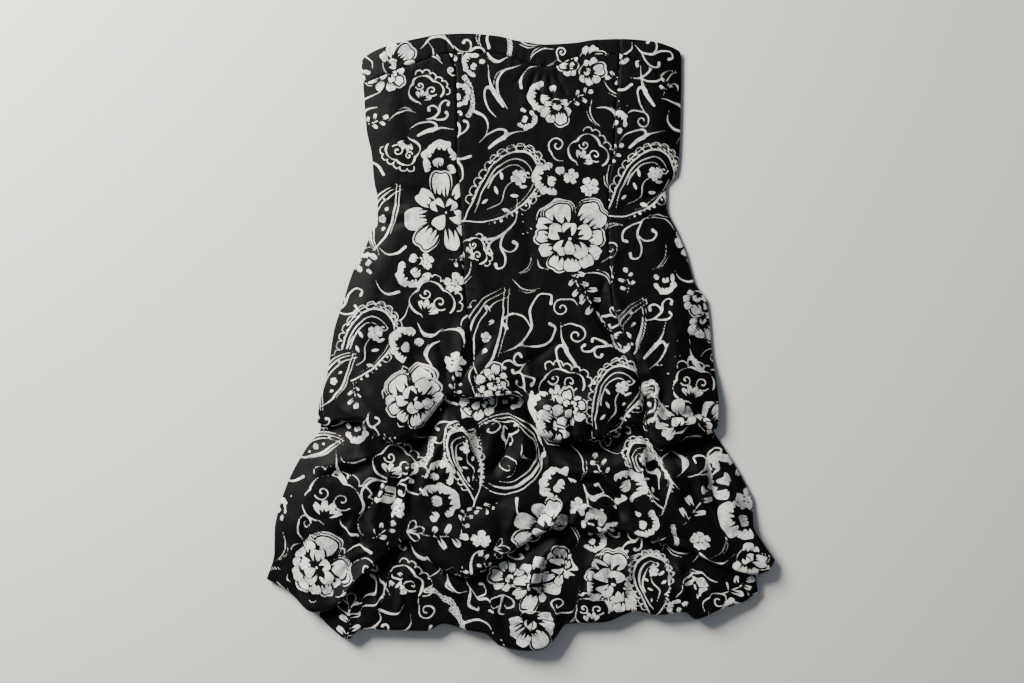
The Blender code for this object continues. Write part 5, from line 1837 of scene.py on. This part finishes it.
class DRESS_OT_stitching(bpy.types.Operator):
    """Edge-stitch the band along its turned top and above its seam"""

    bl_idname = "dress.stitching"
    bl_label = "Stitching"

    def execute(self, context):
        settings = context.scene.dress_thread
        off = settings.from_edge / MM
        x = np.arange(*STITCHED, 1.0)
        rows = []
        for line_at, up in ((top_edge, -TOP_TURN - off), (band_seam, off)):
            y = line_at(x) + up
            rows.append(np.stack([x, y, upper_face(x, y)], 1))
        values = {"Stitch length": settings.length, "Thread diameter": settings.diameter, "Seed": 5,
                  "Thread": spun_thread(settings)}
        piece = grown(stitch_tree(), rows, "seam_stitching", values)
        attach(piece, BODY)
        return {"FINISHED"}


# What the camera sees: the width of the picture, what one pixel covers on the cloth, the middle
# of the picture, and the height at which that scale holds
PIXELS_ACROSS = 1024
PIXEL = 0.00127
VIEW_MIDDLE = (-0.0108, 0.0006)
CLOTH_HEIGHT = 0.012
SENSOR_WIDTH = 36.0

# Place and size of the window, and half the width of the floor
WINDOW_PLACE = (-1.55, 1.35, 1.2)
WINDOW_SIZE = (1.2, 1.0)
FLOOR_REACH = 6.0


class DRESS_OT_stage(bpy.types.Operator):
    """Set the pale floor, the soft light and the camera straight above"""

    bl_idname = "dress.stage"
    bl_label = "Stage"

    def execute(self, context):
        settings = context.scene.dress_stage
        floor_mesh = bpy.data.meshes.new("floor")
        corners = [(x * FLOOR_REACH, y * FLOOR_REACH, 0) for x, y in ((-1, -1), (1, -1), (1, 1), (-1, 1))]
        floor_mesh.from_pydata(corners, [], [(0, 1, 2, 3)])
        floor = bpy.data.objects.new("floor", floor_mesh)
        context.collection.objects.link(floor)
        material, _, shader = new_material("matt_paper_floor")
        shader.inputs["Base Color"].default_value = tuple(settings.floor)
        shader.inputs["Roughness"].default_value = 0.9
        floor_mesh.materials.append(material)

        world = bpy.data.worlds.new("studio")
        context.scene.world = world
        world.use_nodes = True
        background = world.node_tree.nodes["Background"]
        background.inputs["Color"].default_value = linear("E6F0FF")
        background.inputs["Strength"].default_value = settings.room

        lamp = bpy.data.lights.new("window", "AREA")
        lamp.shape = "RECTANGLE"
        lamp.size, lamp.size_y = WINDOW_SIZE
        lamp.energy = settings.window
        lamp.color = linear("FFFAF0")[:3]
        key = bpy.data.objects.new("window", lamp)
        key.location = WINDOW_PLACE
        key.rotation_euler = (Vector((0, 0, 0)) - key.location).to_track_quat("-Z", "Y").to_euler()
        context.collection.objects.link(key)

        lens = bpy.data.cameras.new("camera")
        lens.sensor_width = SENSOR_WIDTH
        lens.lens = SENSOR_WIDTH * (settings.distance - CLOTH_HEIGHT) / (PIXELS_ACROSS * PIXEL)
        camera = bpy.data.objects.new("camera", lens)
        camera.location = (*VIEW_MIDDLE, settings.distance)
        context.collection.objects.link(camera)
        context.scene.camera = camera
        return {"FINISHED"}


STEPS = ("back", "tiers", "upper_front", "band", "tuck", "stitching", "stage")


class DRESS_PT_panel(bpy.types.Panel):
    """The dress's pieces and settings"""

    bl_idname = "DRESS_PT_panel"
    bl_label = "Bubble dress"
    bl_space_type = "VIEW_3D"
    bl_region_type = "UI"
    bl_category = "Dress"

    def draw(self, context):
        for group in SETTINGS:
            settings = getattr(context.scene, group)
            box = self.layout.box()
            for name in settings.bl_rna.properties.keys():
                if name not in ("rna_type", "name"):
                    box.prop(settings, name)
        for step in STEPS:
            self.layout.operator("dress." + step)


SETTINGS = {"dress_cloth": DressCloth, "dress_thread": DressThread, "dress_stage": DressStage}
CLASSES = (
    *SETTINGS.values(), DRESS_OT_back, DRESS_OT_tiers, DRESS_OT_upper_front, DRESS_OT_band,
    DRESS_OT_tuck, DRESS_OT_stitching, DRESS_OT_stage, DRESS_PT_panel,
)


def register():
    for kind in CLASSES:
        bpy.utils.register_class(kind)
    for name, kind in SETTINGS.items():
        setattr(bpy.types.Scene, name, bpy.props.PointerProperty(type=kind))


def unregister():
    for name in SETTINGS:
        delattr(bpy.types.Scene, name)
    for kind in reversed(CLASSES):
        bpy.utils.unregister_class(kind)


def main():
    register()
    for step in STEPS:
        getattr(bpy.ops.dress, step)()


if __name__ == "__main__":
    main()
